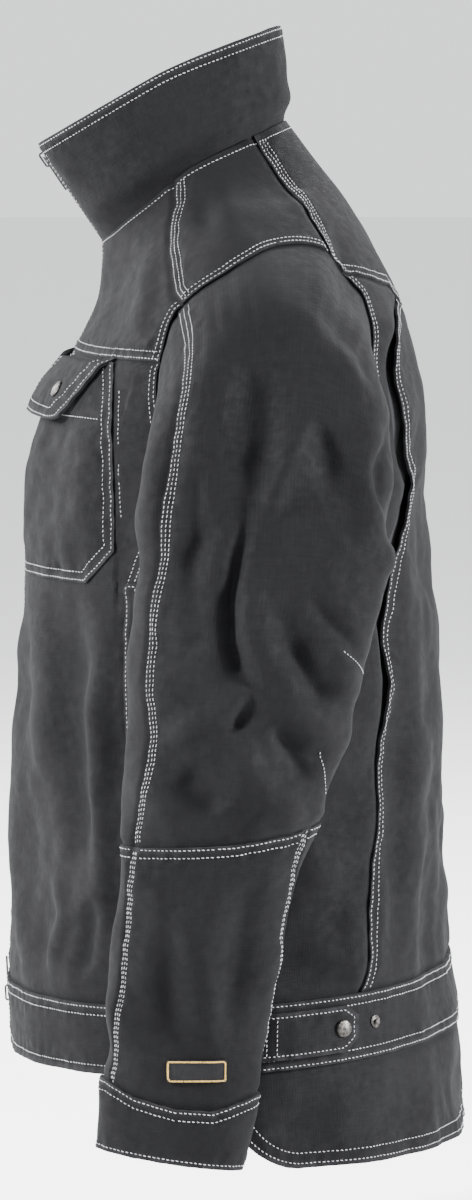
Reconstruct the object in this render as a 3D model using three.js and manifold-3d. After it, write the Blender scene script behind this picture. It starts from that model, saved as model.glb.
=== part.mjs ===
// Heavy woven work jacket with stand collar, two-way front zip, chest pockets and waist adjusters.
// It is shaped as worn, hanging from the loop inside its back neck. Millimetres, +Z up, the front faces -Y, the wearer's left is +X.
import * as THREE from 'three';
import { mergeVertices } from 'three/addons/utils/BufferGeometryUtils.js';
import Module from 'manifold-3d';

const wasm = await Module();
wasm.setup();

// Driving dimensions
const SHELL = 2.4; // shell cloth with its interlining
const LINING = 1.2; // body lining
const SEAM = 0.3; // half of the gap between two neighbouring panels
const ZIP_HALF = 7.6; // from the centre line to a front edge, beside the zip
const TAPE_OUT = 17; // outer edge of a zip tape
const CHAIN = 2.8; // width of one half of the zip's chain
const POCKET_X = [38, 174]; // chest pocket, from and to, sideways
const POCKET_Z = [-186, -327];
const FLAP_DROP = 52; // chest pocket flap, from its seam to its free edge
const FLAP_TILT = 13; // how far the free edge stands off the chest
const LOOP_AT = [0, 12, 10]; // moves the jacket so that its hanger loop is the origin

// Body rings from the neck seam down: front point, side point and back point as [y, z], half width, squareness.
const BODY = [
  [[-134, -89], [-70, -32], [0, 0], 78, 1.0],
  [[-134, -108], [-58, -54], [27, -36], 112, 1.0],
  [[-138, -135], [-40, -72], [48, -64], 158, 1.0],
  [[-155, -170], [-16, -94], [75, -108], 205, 0.98],
  [[-171, -203], [-2, -118], [89, -146], 232, 0.96],
  [[-181, -243], [0, -180], [102.5, -205], 236, 0.93],
  [[-187, -285], [-6, -250], [102.5, -265], 230, 0.9],
  [[-190.5, -330], [-18, -325], [105.5, -325], 224, 0.88],
  [[-192.5, -388], [-24, -382], [108.5, -380], 221, 0.88],
  [[-195.3, -450], [-30, -445], [112.5, -440], 219, 0.88],
  [[-198.2, -512], [-34, -508], [116.5, -500], 219, 0.88],
  [[-201, -572], [-36, -568], [117.5, -560], 221, 0.88],
  [[-203.5, -628], [-36, -624], [119.5, -614], 223, 0.88],
  [[-201, -678], [-36, -672], [124, -659], 226, 0.88],
  [[-198, -745], [-34, -740], [131, -737], 229, 0.88],
];
const COLLAR = [
  [[-134, -89], [-70, -32], [0, 0], 78, 1.0],
  [[-148, -68.4], [-75, -14], [1, 18], 80, 1.0],
  [[-166, -42], [-80, 12], [-1, 42], 81, 1.0],
  [[-181, -20], [-86, 36], [-4, 67], 82, 1.0],
];
// Armhole seam seen from the side, as [y, z], from its top round the rear.
const ARMHOLE = [[2, -85], [24, -88], [40, -97], [54, -112], [65, -138], [70, -172], [69, -212], [61, -252], [44, -288], [19, -313], [-12, -321], [-42, -312], [-65, -290], [-80, -256], [-88, -218], [-91, -186], [-88, -158], [-79, -136], [-64, -121], [-45, -107], [-27, -95], [-10, -87]];
const ARMHOLE_MID = [-10, -205];
// Sleeve rings below the armhole: inner point and outer point as [x, z], middle in y, half depth in y, slope from front to rear.
const SLEEVE = [
  [[230, -326], [291, -176], -10.4, 86, 0],
  [[230.5, -330], [307, -229], -16, 86.5, 0],
  [[231, -336], [317, -283], -18, 86.5, 0],
  [[231, -346], [323, -330], -22.5, 85, 0],
  [[231, -371], [326, -371], -27.7, 81.3, 0],
  [[232, -422], [327, -422], -33.7, 74.8, 0],
  [[233, -474], [326, -474], -43.3, 70.9, 0],
  [[234, -526], [323, -526], -52.6, 63.8, 0],
  [[236, -571], [318, -571], -61.5, 59.5, 0],
  [[239, -616], [312, -616], -68, 56.7, -0.04],
  [[241, -664], [307, -664], -71.6, 53.4, -0.1],
  [[243, -722], [306, -722], -81.3, 51, -0.157],
];

const lerp = (a, b, t) => a + (b - a) * t;
const table = (rows, x) => {
  if (x <= rows[0][0]) return rows[0][1];
  for (let i = 1; i < rows.length; i++)
    if (x <= rows[i][0]) return lerp(rows[i - 1][1], rows[i][1], (x - rows[i - 1][0]) / (rows[i][0] - rows[i - 1][0]));
  return rows[rows.length - 1][1];
};
const power = (x, p) => Math.sign(x) * Math.abs(x) ** p;
// A smooth curve through the four points round t.
const through = (p, t) => {
  const [a, b, c, d] = p;
  return b.map((_, k) => 0.5 * (2 * b[k] + (c[k] - a[k]) * t + (2 * a[k] - 5 * b[k] + 4 * c[k] - d[k]) * t * t + (3 * b[k] - a[k] - 3 * c[k] + d[k]) * t * t * t));
};
const along = (rings, at, v) => {
  const n = rings.length - 1;
  const i = Math.min(Math.max(Math.floor(v), 0), n - 1);
  const get = (k) => {
    if (k < 0) { const a = at(rings[0]), b = at(rings[1]); return a.map((x, j) => 2 * x - b[j]); }
    if (k > n) { const a = at(rings[n]), b = at(rings[n - 1]); return a.map((x, j) => 2 * x - b[j]); }
    return at(rings[k]);
  };
  return through([get(i - 1), get(i), get(i + 1), get(i + 2)], v - i);
};
const ROUND = 0.18; // rounds the shoulder ridge where a ring's front and back halves meet
const ringPoint = (u) => ([f, c, b, w, p]) => {
  const a = u * 2 * Math.PI;
  const s = power(Math.sin(a), p), k = power(Math.cos(a), p);
  const q = Math.sqrt(k * k + ROUND * ROUND), norm = 0.5 * (1 + Math.sqrt(1 + ROUND * ROUND));
  const kf = (0.5 * (k + q)) / norm, kb = (0.5 * (q - k)) / norm;
  return [w * s, c[0] + (f[0] - c[0]) * kf + (b[0] - c[0]) * kb, c[1] + (f[1] - c[1]) * kf + (b[1] - c[1]) * kb];
};
const body = (u, v) => along(BODY, ringPoint(u), v);
const collar = (u, v) => along(COLLAR, ringPoint(u), v);
// Distance from the middle of the armhole to its seam, seen from the side, at an angle from straight up towards the rear.
const polar = ARMHOLE.map(([y, z]) => [Math.atan2(y - ARMHOLE_MID[0], z - ARMHOLE_MID[1]), Math.hypot(y - ARMHOLE_MID[0], z - ARMHOLE_MID[1])]).sort((a, b) => a[0] - b[0]);
const armholeRadius = (angle) => {
  const n = polar.length, a = Math.atan2(Math.sin(angle), Math.cos(angle));
  let i = polar.findIndex((p) => p[0] > a);
  if (i < 0) i = n;
  const get = (k) => [polar[((k % n) + n) % n][0] + 2 * Math.PI * Math.floor(k / n), polar[((k % n) + n) % n][1]];
  const p = [get(i - 2), get(i - 1), get(i), get(i + 1)];
  const t = (a - p[1][0]) / (p[2][0] - p[1][0]);
  return through(p.map((q) => [q[1]]), t)[0];
};
// The point of the body's left side at a place seen from the side.
const onSide = (y, z) => {
  let u = 0.25, v = 4, best = Infinity;
  for (let i = 0; i <= 24; i++)
    for (let j = 0; j <= 28; j++) {
      const a = 0.1 + (0.3 * i) / 24, b = 1 + (7 * j) / 28, p = body(a, b), d = (p[1] - y) ** 2 + (p[2] - z) ** 2;
      if (d < best) { best = d; u = a; v = b; }
    }
  for (let k = 0; k < 8; k++) {
    const e = 1e-4, p = body(u, v), a = body(u + e, v), b = body(u, v + e);
    const m = [(a[1] - p[1]) / e, (b[1] - p[1]) / e, (a[2] - p[2]) / e, (b[2] - p[2]) / e];
    const det = m[0] * m[3] - m[1] * m[2], dy = y - p[1], dz = z - p[2];
    u += (m[3] * dy - m[1] * dz) / det;
    v += (m[0] * dz - m[2] * dy) / det;
  }
  return body(u, v);
};
const seamCache = new Map();
const armholePoint = (u) => {
  const key = (((u % 1) + 1) % 1).toFixed(5);
  if (!seamCache.has(key)) {
    const a = Number(key) * 2 * Math.PI, r = armholeRadius(a);
    seamCache.set(key, onSide(ARMHOLE_MID[0] + r * Math.sin(a), ARMHOLE_MID[1] + r * Math.cos(a)));
  }
  return seamCache.get(key);
};
const sleeveRing = (u, v) => along(SLEEVE, ([i, o, y, d, slope]) => {
  const a = u * 2 * Math.PI, c = power(Math.cos(a), 0.94), s = power(Math.sin(a), 0.94);
  return [(i[0] + o[0]) / 2 + ((o[0] - i[0]) / 2) * c, y + d * s, (i[1] + o[1]) / 2 + ((o[1] - i[1]) / 2) * c + slope * d * s];
}, v);
// u is 0 on the outer line of the sleeve, 0.25 at its rear, 0.5 on its inner line, 0.75 at its front. v is 0 at the armhole, 1 at the first ring.
const sleeve = (u, v) => {
  if (v >= 1) return sleeveRing(u, v - 1);
  const t = Math.max(v, 0);
  const a = new THREE.Vector3(...armholePoint(u)), b = new THREE.Vector3(...sleeveRing(u, 0));
  const size = a.distanceTo(b);
  const d0 = new THREE.Vector3(1, 0, -0.32 * (1 + Math.cos(u * 2 * Math.PI)) * 0.5 - 0.05).normalize().multiplyScalar(size);
  const d1 = new THREE.Vector3(...sleeveRing(u, 0.05)).sub(b).normalize().multiplyScalar(size);
  const h = [2 * t ** 3 - 3 * t ** 2 + 1, t ** 3 - 2 * t ** 2 + t, -2 * t ** 3 + 3 * t ** 2, t ** 3 - t ** 2];
  const p = a.multiplyScalar(h[0]).addScaledVector(d0, h[1]).addScaledVector(b, h[2]).addScaledVector(d1, h[3]);
  return [p.x, p.y, p.z];
};
const normalOf = (f, u, v) => {
  const e = 1e-3;
  const a = new THREE.Vector3(...f(u + e, v)).sub(new THREE.Vector3(...f(u - e, v)));
  const b = new THREE.Vector3(...f(u, v + e)).sub(new THREE.Vector3(...f(u, v - e)));
  return a.cross(b).normalize().multiplyScalar(f.inward ? -1 : 1);
};
body.inward = sleeve.inward = true;

// A sheet is a list of points {p, n, u, v} and of faces. Its normals point out of the garment.
const gridOf = (f, us, vs, { wrap = false } = {}) => {
  const points = [], faces = [];
  for (const v of vs) for (const u of us) points.push({ p: new THREE.Vector3(...f(u, v)), n: normalOf(f, u, v), u, v });
  const n = us.length, m = wrap ? n : n - 1;
  for (let j = 0; j + 1 < vs.length; j++)
    for (let i = 0; i < m; i++) {
      const a = j * n + i, b = j * n + ((i + 1) % n), c = a + n, d = b + n;
      faces.push(f.inward ? [a, c, d, b] : [a, b, d, c]);
    }
  return { points, faces };
};
const range = (a, b, n) => Array.from({ length: n + 1 }, (_, i) => lerp(a, b, i / n));

// Keeps the part of a sheet where the field isn't negative.
const keep = (sheet, field) => {
  const value = sheet.points.map(field);
  const points = [], faces = [], moved = new Map(), cuts = new Map();
  const old = (i) => {
    if (!moved.has(i)) { moved.set(i, points.length); points.push(sheet.points[i]); }
    return moved.get(i);
  };
  const cut = (i, j) => {
    const key = i < j ? i + ',' + j : j + ',' + i;
    if (!cuts.has(key)) {
      const [a, b] = i < j ? [i, j] : [j, i];
      let t = value[a] / (value[a] - value[b]);
      const A = sheet.points[a], B = sheet.points[b];
      cuts.set(key, points.length);
      points.push({ p: A.p.clone().lerp(B.p, t), n: A.n.clone().lerp(B.n, t).normalize(), u: lerp(A.u, B.u, t), v: lerp(A.v, B.v, t) });
    }
    return cuts.get(key);
  };
  for (const face of sheet.faces) {
    const out = [];
    face.forEach((a, k) => {
      const b = face[(k + 1) % face.length];
      if (value[a] >= 0) out.push(old(a));
      if (value[a] >= 0 !== value[b] >= 0) out.push(cut(a, b));
    });
    if (out.length >= 3) faces.push(out);
  }
  return { points, faces };
};
const keepAll = (sheet, fields) => fields.reduce((s, f) => keep(s, f), sheet);
const toGeometry = (vertices, triangles) => {
  const g = new THREE.BufferGeometry();
  g.setAttribute('position', new THREE.Float32BufferAttribute(vertices.flat(), 3));
  g.setIndex(triangles.flat());
  return g;
};
// A closed solid between two offsets of a sheet. An offset is a number or a function of the point.
const thicken = (sheet, outer, inner) => {
  const off = (o, q) => (typeof o === 'function' ? o(q) : o);
  const at = (q, d) => { const x = q.p.clone().addScaledVector(q.n, d); return [x.x, x.y, x.z]; };
  const n = sheet.points.length;
  const vertices = [...sheet.points.map((q) => at(q, off(outer, q))), ...sheet.points.map((q) => at(q, off(inner, q)))];
  const triangles = [], edges = new Map();
  for (const f of sheet.faces) {
    for (let k = 1; k + 1 < f.length; k++) {
      triangles.push([f[0], f[k], f[k + 1]]);
      triangles.push([n + f[0], n + f[k + 1], n + f[k]]);
    }
    f.forEach((a, k) => edges.set(a + ',' + f[(k + 1) % f.length], [a, f[(k + 1) % f.length]]));
  }
  for (const [a, b] of edges.values())
    if (!edges.has(b + ',' + a)) triangles.push([a, n + a, n + b], [a, n + b, b]);
  return toGeometry(vertices, triangles);
};
const toManifold = (geometry) => {
  const g = geometry.clone();
  g.deleteAttribute('normal');
  g.deleteAttribute('uv');
  const m = mergeVertices(g, 1e-4);
  return new wasm.Manifold(new wasm.Mesh({ numProp: 3, vertProperties: new Float32Array(m.attributes.position.array), triVerts: new Uint32Array(m.index.array) }));
};
const fromManifold = (solid) => {
  solid = solid.simplify(1e-3);
  const m = solid.getMesh();
  const g = new THREE.BufferGeometry();
  g.setAttribute('position', new THREE.Float32BufferAttribute(m.vertProperties, 3));
  g.setIndex([...m.triVerts]);
  return g;
};

const AROUND = 36;
const us = range(0, 1, AROUND).slice(0, -1);
const ARMHOLE_GAP = 6.5; // between the armhole's edge and the sleeve, so that the sleeve can turn
const outsideArmhole = (q) => {
  if (Math.abs(q.p.x) < 120) return 400;
  const y = q.p.y - ARMHOLE_MID[0], z = q.p.z - ARMHOLE_MID[1];
  return Math.hypot(y, z) - armholeRadius(Math.atan2(y, z)) - ARMHOLE_GAP;
};

// Seam lines on the body. Each is positive on its upper, rear or outer side.
const frontYoke = (q) => q.p.z + 155 + 0.03 * Math.abs(q.p.x);
const BACK_YOKE = [[40, -100], [54, -106], [74, -120], [84, -136], [92, -153]];
const backYoke = (q) => q.p.z - table(BACK_YOKE, q.p.y);
const FRONT_SHOULDER = [[-134, -68], [-122, -78], [-92, -83], [-76, -83], [-60, -79], [-41, -80]];
const frontShoulder = (q) => q.p.y - table(FRONT_SHOULDER, q.p.z);
const BACK_SHOULDER = [[60, -22], [75, -10], [100, 8], [120, 19], [140, 29], [160, 41], [175, 47], [200, 49]];
const backShoulder = (q) => q.p.y - table(BACK_SHOULDER, Math.abs(q.p.x));
const FRONT_SIDE = [[-450, -108], [-330, -108], [-290, -90], [-260, -40]];
const frontSide = (q) => q.p.y - table(FRONT_SIDE, q.p.z);
const PRINCESS = [[-640, 54], [-577, 57], [-520, 64], [-463, 68], [-416, 71], [-372, 74], [-340, 79], [-295, 87], [-282, 89], [-262, 93], [-228, 86], [-212, 84], [-150, 80]];
const princess = (q) => table(PRINCESS, q.p.z) - q.p.y; // positive in front of the back panel's edge

const material = (color, roughness = 0.85, metalness = 0) => new THREE.MeshStandardMaterial({ color, roughness, metalness });
const CLOTH = material(0x343437), DARK = material(0x1d1d1f), LINE = material(0x46484c, 0.7), METAL = material(0x8d8f92, 0.35, 1), BLACK_METAL = material(0x3a3b3d, 0.4, 1), LABEL = material(0xa8893a, 0.8);
const jacket = new THREE.Group();
jacket.position.set(...LOOP_AT);
const add = (name, geometry, mat = CLOTH) => {
  const mesh = new THREE.Mesh(geometry, mat);
  mesh.name = name;
  jacket.add(mesh);
  return mesh;
};
// The mirror image of a geometry in the plane x = 0, still facing out.
const mirror = (geometry) => {
  const g = geometry.clone().scale(-1, 1, 1);
  const i = g.index ? [...g.index.array] : Array.from({ length: g.attributes.position.count }, (_, k) => k);
  for (let k = 0; k < i.length; k += 3) [i[k + 1], i[k + 2]] = [i[k + 2], i[k + 1]];
  g.setIndex(i);
  return g;
};
const pair = (name, geometry, mat = CLOTH) => {
  add(name + '_left', geometry, mat);
  add(name + '_right', mirror(geometry), mat);
};

// Body panels
const ROWS = [0.06, 1, 2, 3, 4, 5, 6, 7.5, 9, 10.5, 11.97];
const shell = gridOf(body, us, ROWS, { wrap: true });
const left = keep(shell, (q) => q.p.x - 0.01);
const open = (sheet) => keep(sheet, outsideArmhole);
const edge = (sheet) => keep(sheet, (q) => q.p.x - ZIP_HALF);
const above = (field) => (q) => field(q) - SEAM;
const below = (field) => (q) => -field(q) - SEAM;

let s = keep(keep(keep(open(left), above(frontYoke)), below(frontShoulder)), (q) => -30 - q.p.y);
pair('front_yoke', thicken(edge(s), 0, -SHELL));
s = keep(keep(keep(open(left), above(frontShoulder)), below(backShoulder)), (q) => Math.min(Math.max(q.p.z + 103.5, -q.p.y), q.p.z + 160));
pair('shoulder_panel', thicken(s, 0, -SHELL));
s = keep(keep(keep(open(shell), above(backYoke)), above(backShoulder)), (q) => q.p.y + 60);
add('back_yoke', thicken(s, 0, -SHELL));
const frontSheet = edge(keep(keep(open(left), below(frontYoke)), below(frontSide)));
pair('front_panel', thicken(frontSheet, 0, -SHELL));
s = keepAll(open(left), [below(backYoke), above(frontSide), above(princess)]);
pair('side_panel', thicken(s, 0, -SHELL));
s = keepAll(open(shell), [below(backYoke), below(princess), (q) => q.p.y - 20]);
add('back_panel', thicken(s, 0, -SHELL));

// Body lining, inside the shell, from the neck to the waistband
const LIN = SHELL + 2.2;
const linerHole = (q) => outsideArmhole(q) - 9;
const linerRows = [0.5, ...ROWS.slice(1, -1), 11.9];
const liner = gridOf(body, us, linerRows, { wrap: true });
s = keep(keep(keep(keep(liner, linerHole), (q) => q.p.x - TAPE_OUT - 5), (q) => 20 - q.p.y - SEAM), (q) => q.p.y + 400);
pair('lining_front', thicken(s, -LIN, -LIN - LINING), LINE);
s = keep(keep(liner, linerHole), (q) => q.p.y - 20 - SEAM);
add('lining_back', thicken(s, -LIN, -LIN - LINING), LINE);

// Waistband and tail
const bandRows = [12.03, 12.5, 12.97];
const band = gridOf(body, range(0, 1, AROUND), bandRows);
const bandLeft = keep(band, (q) => q.p.x - ZIP_HALF);
const SIDE_U = 0.245;
pair('waistband_front', thicken(keep(bandLeft, (q) => (SIDE_U - q.u) * 1400 - SEAM), 0.8, -SHELL));
s = keep(keep(band, (q) => (q.u - SIDE_U) * 1400 - SEAM), (q) => (1 - SIDE_U - q.u) * 1400 - SEAM);
add('waistband_back', thicken(s, 0.8, -SHELL));
const tail = gridOf(body, range(0.24, 0.76, 20), [13.03, 13.5, 14]);
const TAIL_DROP = 76;
// Distances from the tail's nearer side edge and from its lower edge, with each rounded corner cut in four strokes.
const tailSide = (q) => Math.min(q.u - SIDE_U, 1 - SIDE_U - q.u) * 1150;
const tailUp = (q) => TAIL_DROP - (q.v - 13) * TAIL_DROP;
s = keepAll(tail, [(q) => tailSide(q) - 1, ...[9, 27, 45, 63, 81].map((a) => {
  const c = Math.cos((a * Math.PI) / 180), d = Math.sin((a * Math.PI) / 180);
  return (q) => tailSide(q) * c + tailUp(q) * d - 52 * (c + d - 1);
})]);
add('back_tail', thicken(s, 0, -SHELL));

// Collar: an outer layer and a facing, each in one piece round the back
const collarGrid = gridOf(collar, range(0, 1, 36).slice(0, -1), [0.06, 1, 2, 3], { wrap: true });
const collarSheet = keep(keep(collarGrid, (q) => Math.abs(q.p.x) - ZIP_HALF + (q.p.y > -100 ? 400 : 0)), () => 1);
add('collar_outer', thicken(collarSheet, 0.4, -1.8));
add('collar_facing', thicken(collarSheet, -2.4, -4.4), LINE);

// Sleeves
const sleeveUs = range(0, 1, 18).slice(0, -1);
const sleeveRows = [0, 0.2, 0.45, 0.7, 1, 2, 3, 4, 5.5, 7, 8, 9.5, 11, 12];
const tube = gridOf(sleeve, sleeveUs, sleeveRows, { wrap: true });
const ELBOW = [[-108, -501], [-35, -498], [5, -493], [25, -486]]; // height of the forearm seam from front to rear
const elbow = (q) => q.p.z - table(ELBOW, q.p.y);
const CUFF_SEAM = [[-124, -666], [-106, -676], [-78, -684], [-50, -686], [-22, -677]];
const cuffSeam = (q) => q.p.z - table(CUFF_SEAM, q.p.y);
const FRONT_SEAM = [[-715, 0.822], [-661, 0.822], [-611, 0.842], [-564, 0.835], [-504, 0.822], [-450, 0.842], [-356, 0.85], [-280, 0.868], [-224, 0.88], [-138, 0.89]];
const REAR_SEAM = 0.36;
const shifted = gridOf(sleeve, range(0.6, 1.6, 18), sleeveRows);
const outerField = (q) => {
  const f = table(FRONT_SEAM, q.p.z), size = 480;
  return Math.min((q.u - f) * size, (1 + REAR_SEAM - q.u) * size);
};
const under = gridOf(sleeve, range(0.2, 1.2, 18), sleeveRows);
const underField = (q) => {
  const f = table(FRONT_SEAM, q.p.z), size = 480;
  return Math.min((f - q.u) * size, (q.u - REAR_SEAM) * size);
};
const outerSheet = keep(shifted, (q) => outerField(q) - 2 * SEAM);
const underSheet = keep(under, (q) => underField(q) - 2 * SEAM);
pair('sleeve_upper_outer', thicken(keep(outerSheet, above(elbow)), 0, -SHELL));
pair('sleeve_upper_under', thicken(keep(underSheet, above(elbow)), 0, -SHELL));
pair('forearm_outer', thicken(keep(keep(outerSheet, below(elbow)), above(cuffSeam)), 0, -SHELL));
pair('forearm_under', thicken(keep(keep(underSheet, below(elbow)), above(cuffSeam)), 0, -SHELL));
pair('cuff', thicken(keep(keep(tube, (q) => -q.p.z - 600), below(cuffSeam)), 0.5, -SHELL));

// Chest pockets, built on the front panel's own facets
const pocketSheet = keepAll(frontSheet, [
  (q) => q.p.x - POCKET_X[0],
  (q) => POCKET_X[1] - q.p.x,
  (q) => POCKET_Z[0] - q.p.z,
  (q) => q.p.z - POCKET_Z[1],
  (q) => POCKET_X[1] - q.p.x + (q.p.z - POCKET_Z[1]) - 24,
  (q) => q.p.x - POCKET_X[0] + (q.p.z - POCKET_Z[1]) - 24,
]);
pair('chest_pocket', thicken(pocketSheet, 2.4, 0.5));

// Pocket flaps: they follow the chest below the yoke seam and stand off more towards their free edge.
const flapTop = (q) => -161 - 0.03 * q.p.x;
const flapDrop = (q) => flapTop(q) - q.p.z;
const flapOff = (q) => 3.4 + (FLAP_TILT * Math.max(0, flapDrop(q))) / FLAP_DROP;
const flapSheet = keepAll(frontSheet, [
  flapDrop,
  (q) => FLAP_DROP - flapDrop(q),
  (q) => q.p.x - POCKET_X[0] + 4 - 0.1 * flapDrop(q),
  (q) => POCKET_X[1] + 2 - q.p.x - 0.2 * flapDrop(q),
  (q) => (POCKET_X[1] - q.p.x) * 0.8 + (FLAP_DROP - flapDrop(q)) * 0.6 - 16,
]);
// A snap's cap covers the socket above its hole; the stud below it has a round head.
const onSurface = (f, u, v, off) => {
  const n = normalOf(f, u, v);
  return { at: new THREE.Vector3(...f(u, v)).addScaledVector(n, off), n };
};
const turned = (geometry, { at, n }) => {
  const q = new THREE.Quaternion().setFromUnitVectors(new THREE.Vector3(0, 1, 0), n);
  return geometry.clone().applyQuaternion(q).translate(at.x, at.y, at.z);
};
const lathe = (profile, segments = 16) => new THREE.LatheGeometry(profile.map(([r, y]) => new THREE.Vector2(r, y)), segments);
const capShape = lathe([[0, 1.2], [2.6, 1.2], [2.6, 0], [6.2, 0], [6.4, 0.7], [5.6, 1.6], [3.4, 2.3], [0, 2.6]].reverse(), 12);
const studShape = lathe([[0, 0], [4.6, 0], [4.6, 0.6], [1.7, 0.9], [1.5, 1.7], [2.0, 2.3], [1.6, 2.8], [0, 2.9]], 10);
const outward = (g) => {
  const m = toManifold(g);
  if (m.volume() > 0) return g;
  const h = g.index ? g.clone() : mergeVertices(g.clone());
  const i = [...h.index.array];
  for (let k = 0; k < i.length; k += 3) [i[k + 1], i[k + 2]] = [i[k + 2], i[k + 1]];
  h.setIndex(i);
  return h;
};
const find = (f, test, u0, u1, v0, v1) => {
  let best = Infinity, at = [0, 0];
  for (let i = 0; i <= 160; i++)
    for (let j = 0; j <= 160; j++) {
      const u = lerp(u0, u1, i / 160), v = lerp(v0, v1, j / 160);
      const d = test(f(u, v));
      if (d < best) { best = d; at = [u, v]; }
    }
  return at;
};
const FLAP_SNAP = [114, -197];
const [fu, fv] = find(body, (p) => (p[0] - FLAP_SNAP[0]) ** 2 + (p[2] - FLAP_SNAP[1]) ** 2, 0.02, 0.2, 3, 7);
const drop = -161 - 0.03 * FLAP_SNAP[0] - FLAP_SNAP[1];
const lift = 3.4 + (FLAP_TILT * drop) / FLAP_DROP;
const flapSnap = onSurface(body, fu, fv, lift + 0.9);
{
  // The flap leans out, so its snap is tipped by the same angle.
  const lean = Math.atan2(FLAP_TILT, FLAP_DROP);
  const side = new THREE.Vector3(0, 0, 1).cross(flapSnap.n).normalize();
  flapSnap.n.applyAxisAngle(side, -lean);
}
const hole = (place, r) => turned(new THREE.CylinderGeometry(r, r, 14, 12), place);
pair('pocket_flap', fromManifold(toManifold(thicken(flapSheet, flapOff, (q) => flapOff(q) - 2.4)).subtract(toManifold(hole(flapSnap, 3)))));
pair('flap_snap_cap', outward(turned(capShape, flapSnap)), METAL);
const pocketStud = onSurface(body, ...find(body, (p) => (p[0] - 114) ** 2 + (p[2] + 198) ** 2, 0.02, 0.2, 3, 7), 2.75);
pair('pocket_snap_stud', outward(turned(studShape, pocketStud)), METAL);

// Hand pocket welts along the front side seam
const weltSheet = keepAll(frontSheet, [(q) => -frontSide(q) - 2, (q) => frontSide(q) + 15, (q) => -328 - q.p.z, (q) => q.p.z + 440]);
pair('hand_pocket_welt', thicken(weltSheet, 2.6, 0.5));

// Waist adjusters: a tab sewn at the side and snapped to one of two studs on the back waistband
const tabRows = gridOf(body, us, bandRows, { wrap: true });
const TAB_Y = [-17, 49];
const tabLift = 2;
const tabSheet = keepAll(tabRows, [
  (q) => q.p.x - 100,
  (q) => q.p.y - TAB_Y[0],
  (q) => TAB_Y[1] - q.p.y,
  (q) => 17.5 - (q.v - 12.5) * 48,
  (q) => 17.5 + (q.v - 12.5) * 48,
  (q) => (TAB_Y[1] - q.p.y + 17.5 - (q.v - 12.5) * 48) * 0.72 - 6,
  (q) => (TAB_Y[1] - q.p.y + 17.5 + (q.v - 12.5) * 48) * 0.72 - 6,
]);
const near = (y) => find(body, (p) => (p[1] - y) ** 2, 0.2, 0.36, 12.5, 12.5001);
const tabSnap = onSurface(body, ...near(38), 0.8 + tabLift + 2.2);
pair('adjuster_tab', fromManifold(toManifold(thicken(tabSheet, 0.8 + tabLift + 2.2, 0.8 + tabLift)).subtract(toManifold(hole(tabSnap, 3.2)))));
tabSnap.at.addScaledVector(tabSnap.n, 0.6);
pair('adjuster_snap_cap', outward(turned(capShape, tabSnap)), METAL);
const studA = onSurface(body, ...near(38), 1.1), studB = onSurface(body, ...near(63), 1.1);
pair('band_stud_front', outward(turned(studShape, studA)), METAL);
pair('band_stud_rear', outward(turned(studShape, studB)), METAL);

// Front zip: its path runs down the centre front from the collar's edge to the hem.
const pathPoints = [];
for (let v = 2.94; v > 0.3; v -= 0.42) pathPoints.push(collar(0, v));
for (const v of [0.35, 1.1, 2, 3, 4, 5, 6, 7, 8, 9, 10, 11, 12, 12.95]) pathPoints.push(body(0, v));
const path = new THREE.CatmullRomCurve3(pathPoints.map((p) => new THREE.Vector3(0, p[1], p[2])), false, 'centripetal');
const STEPS = 26;
const stations = range(0, 1, STEPS).map((t) => {
  const p = path.getPointAt(t), d = path.getTangentAt(t);
  return { p, d, n: new THREE.Vector3(0, d.z, -d.y).normalize() };
});
for (const q of stations) if (q.n.y > 0) q.n.negate();
// A bar along the zip, between two sideways positions and two depths below the cloth's face.
const bar = (x0, x1, d0, d1, e0 = d0, e1 = d1) => {
  const vertices = [], triangles = [];
  for (const q of stations)
    for (const [x, d] of [[x0, d0], [x1, e0], [x1, e1], [x0, d1]]) {
      const a = q.p.clone().addScaledVector(q.n, -d);
      vertices.push([x, a.y, a.z]);
    }
  for (let i = 0; i < STEPS; i++)
    for (let k = 0; k < 4; k++) {
      const a = 4 * i + k, b = 4 * i + ((k + 1) % 4), c = a + 4, e = b + 4;
      triangles.push([a, b, e], [a, e, c]);
    }
  const m = 4 * STEPS;
  triangles.push([0, 3, 2], [0, 2, 1], [m, m + 1, m + 2], [m, m + 2, m + 3]);
  return outward(toGeometry(vertices, triangles));
};
pair('zip_tape', bar(CHAIN + 0.5, TAPE_OUT, 5.8, 6.6, 8.4, 9.2), DARK);
pair('zip_chain', bar(0.15, 0.15 + CHAIN, 3.5, 6.8), BLACK_METAL);

// Sliders: each has a plate in front of the chain and an arched bridge that holds its pull.
const placeOnZip = (geometry, t, down = false) => {
  const p = path.getPointAt(t), d = path.getTangentAt(t).normalize();
  const n = new THREE.Vector3(0, d.z, -d.y).normalize();
  if (n.y > 0) n.negate();
  const y = down ? d.clone() : d.clone().negate();
  const x = y.clone().cross(n).normalize();
  return geometry.clone().applyMatrix4(new THREE.Matrix4().makeBasis(x, y, n).setPosition(p));
};
const plate = new THREE.Shape();
plate.moveTo(-3.6, -8); plate.lineTo(3.6, -8); plate.lineTo(5.8, 3); plate.lineTo(4.4, 8); plate.lineTo(-4.4, 8); plate.lineTo(-5.8, 3); plate.closePath();
const bridge = new THREE.Shape();
bridge.moveTo(-6, 0); bridge.lineTo(-6, 3.6); bridge.lineTo(-4.6, 5); bridge.lineTo(4.6, 5); bridge.lineTo(6, 3.6); bridge.lineTo(6, 0); bridge.lineTo(4.6, 0); bridge.lineTo(4.6, 3.6); bridge.lineTo(-4.6, 3.6); bridge.lineTo(-4.6, 0); bridge.closePath();
const PLATE_BACK = -2.6; // the plate's rear face, below the cloth's face
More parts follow.
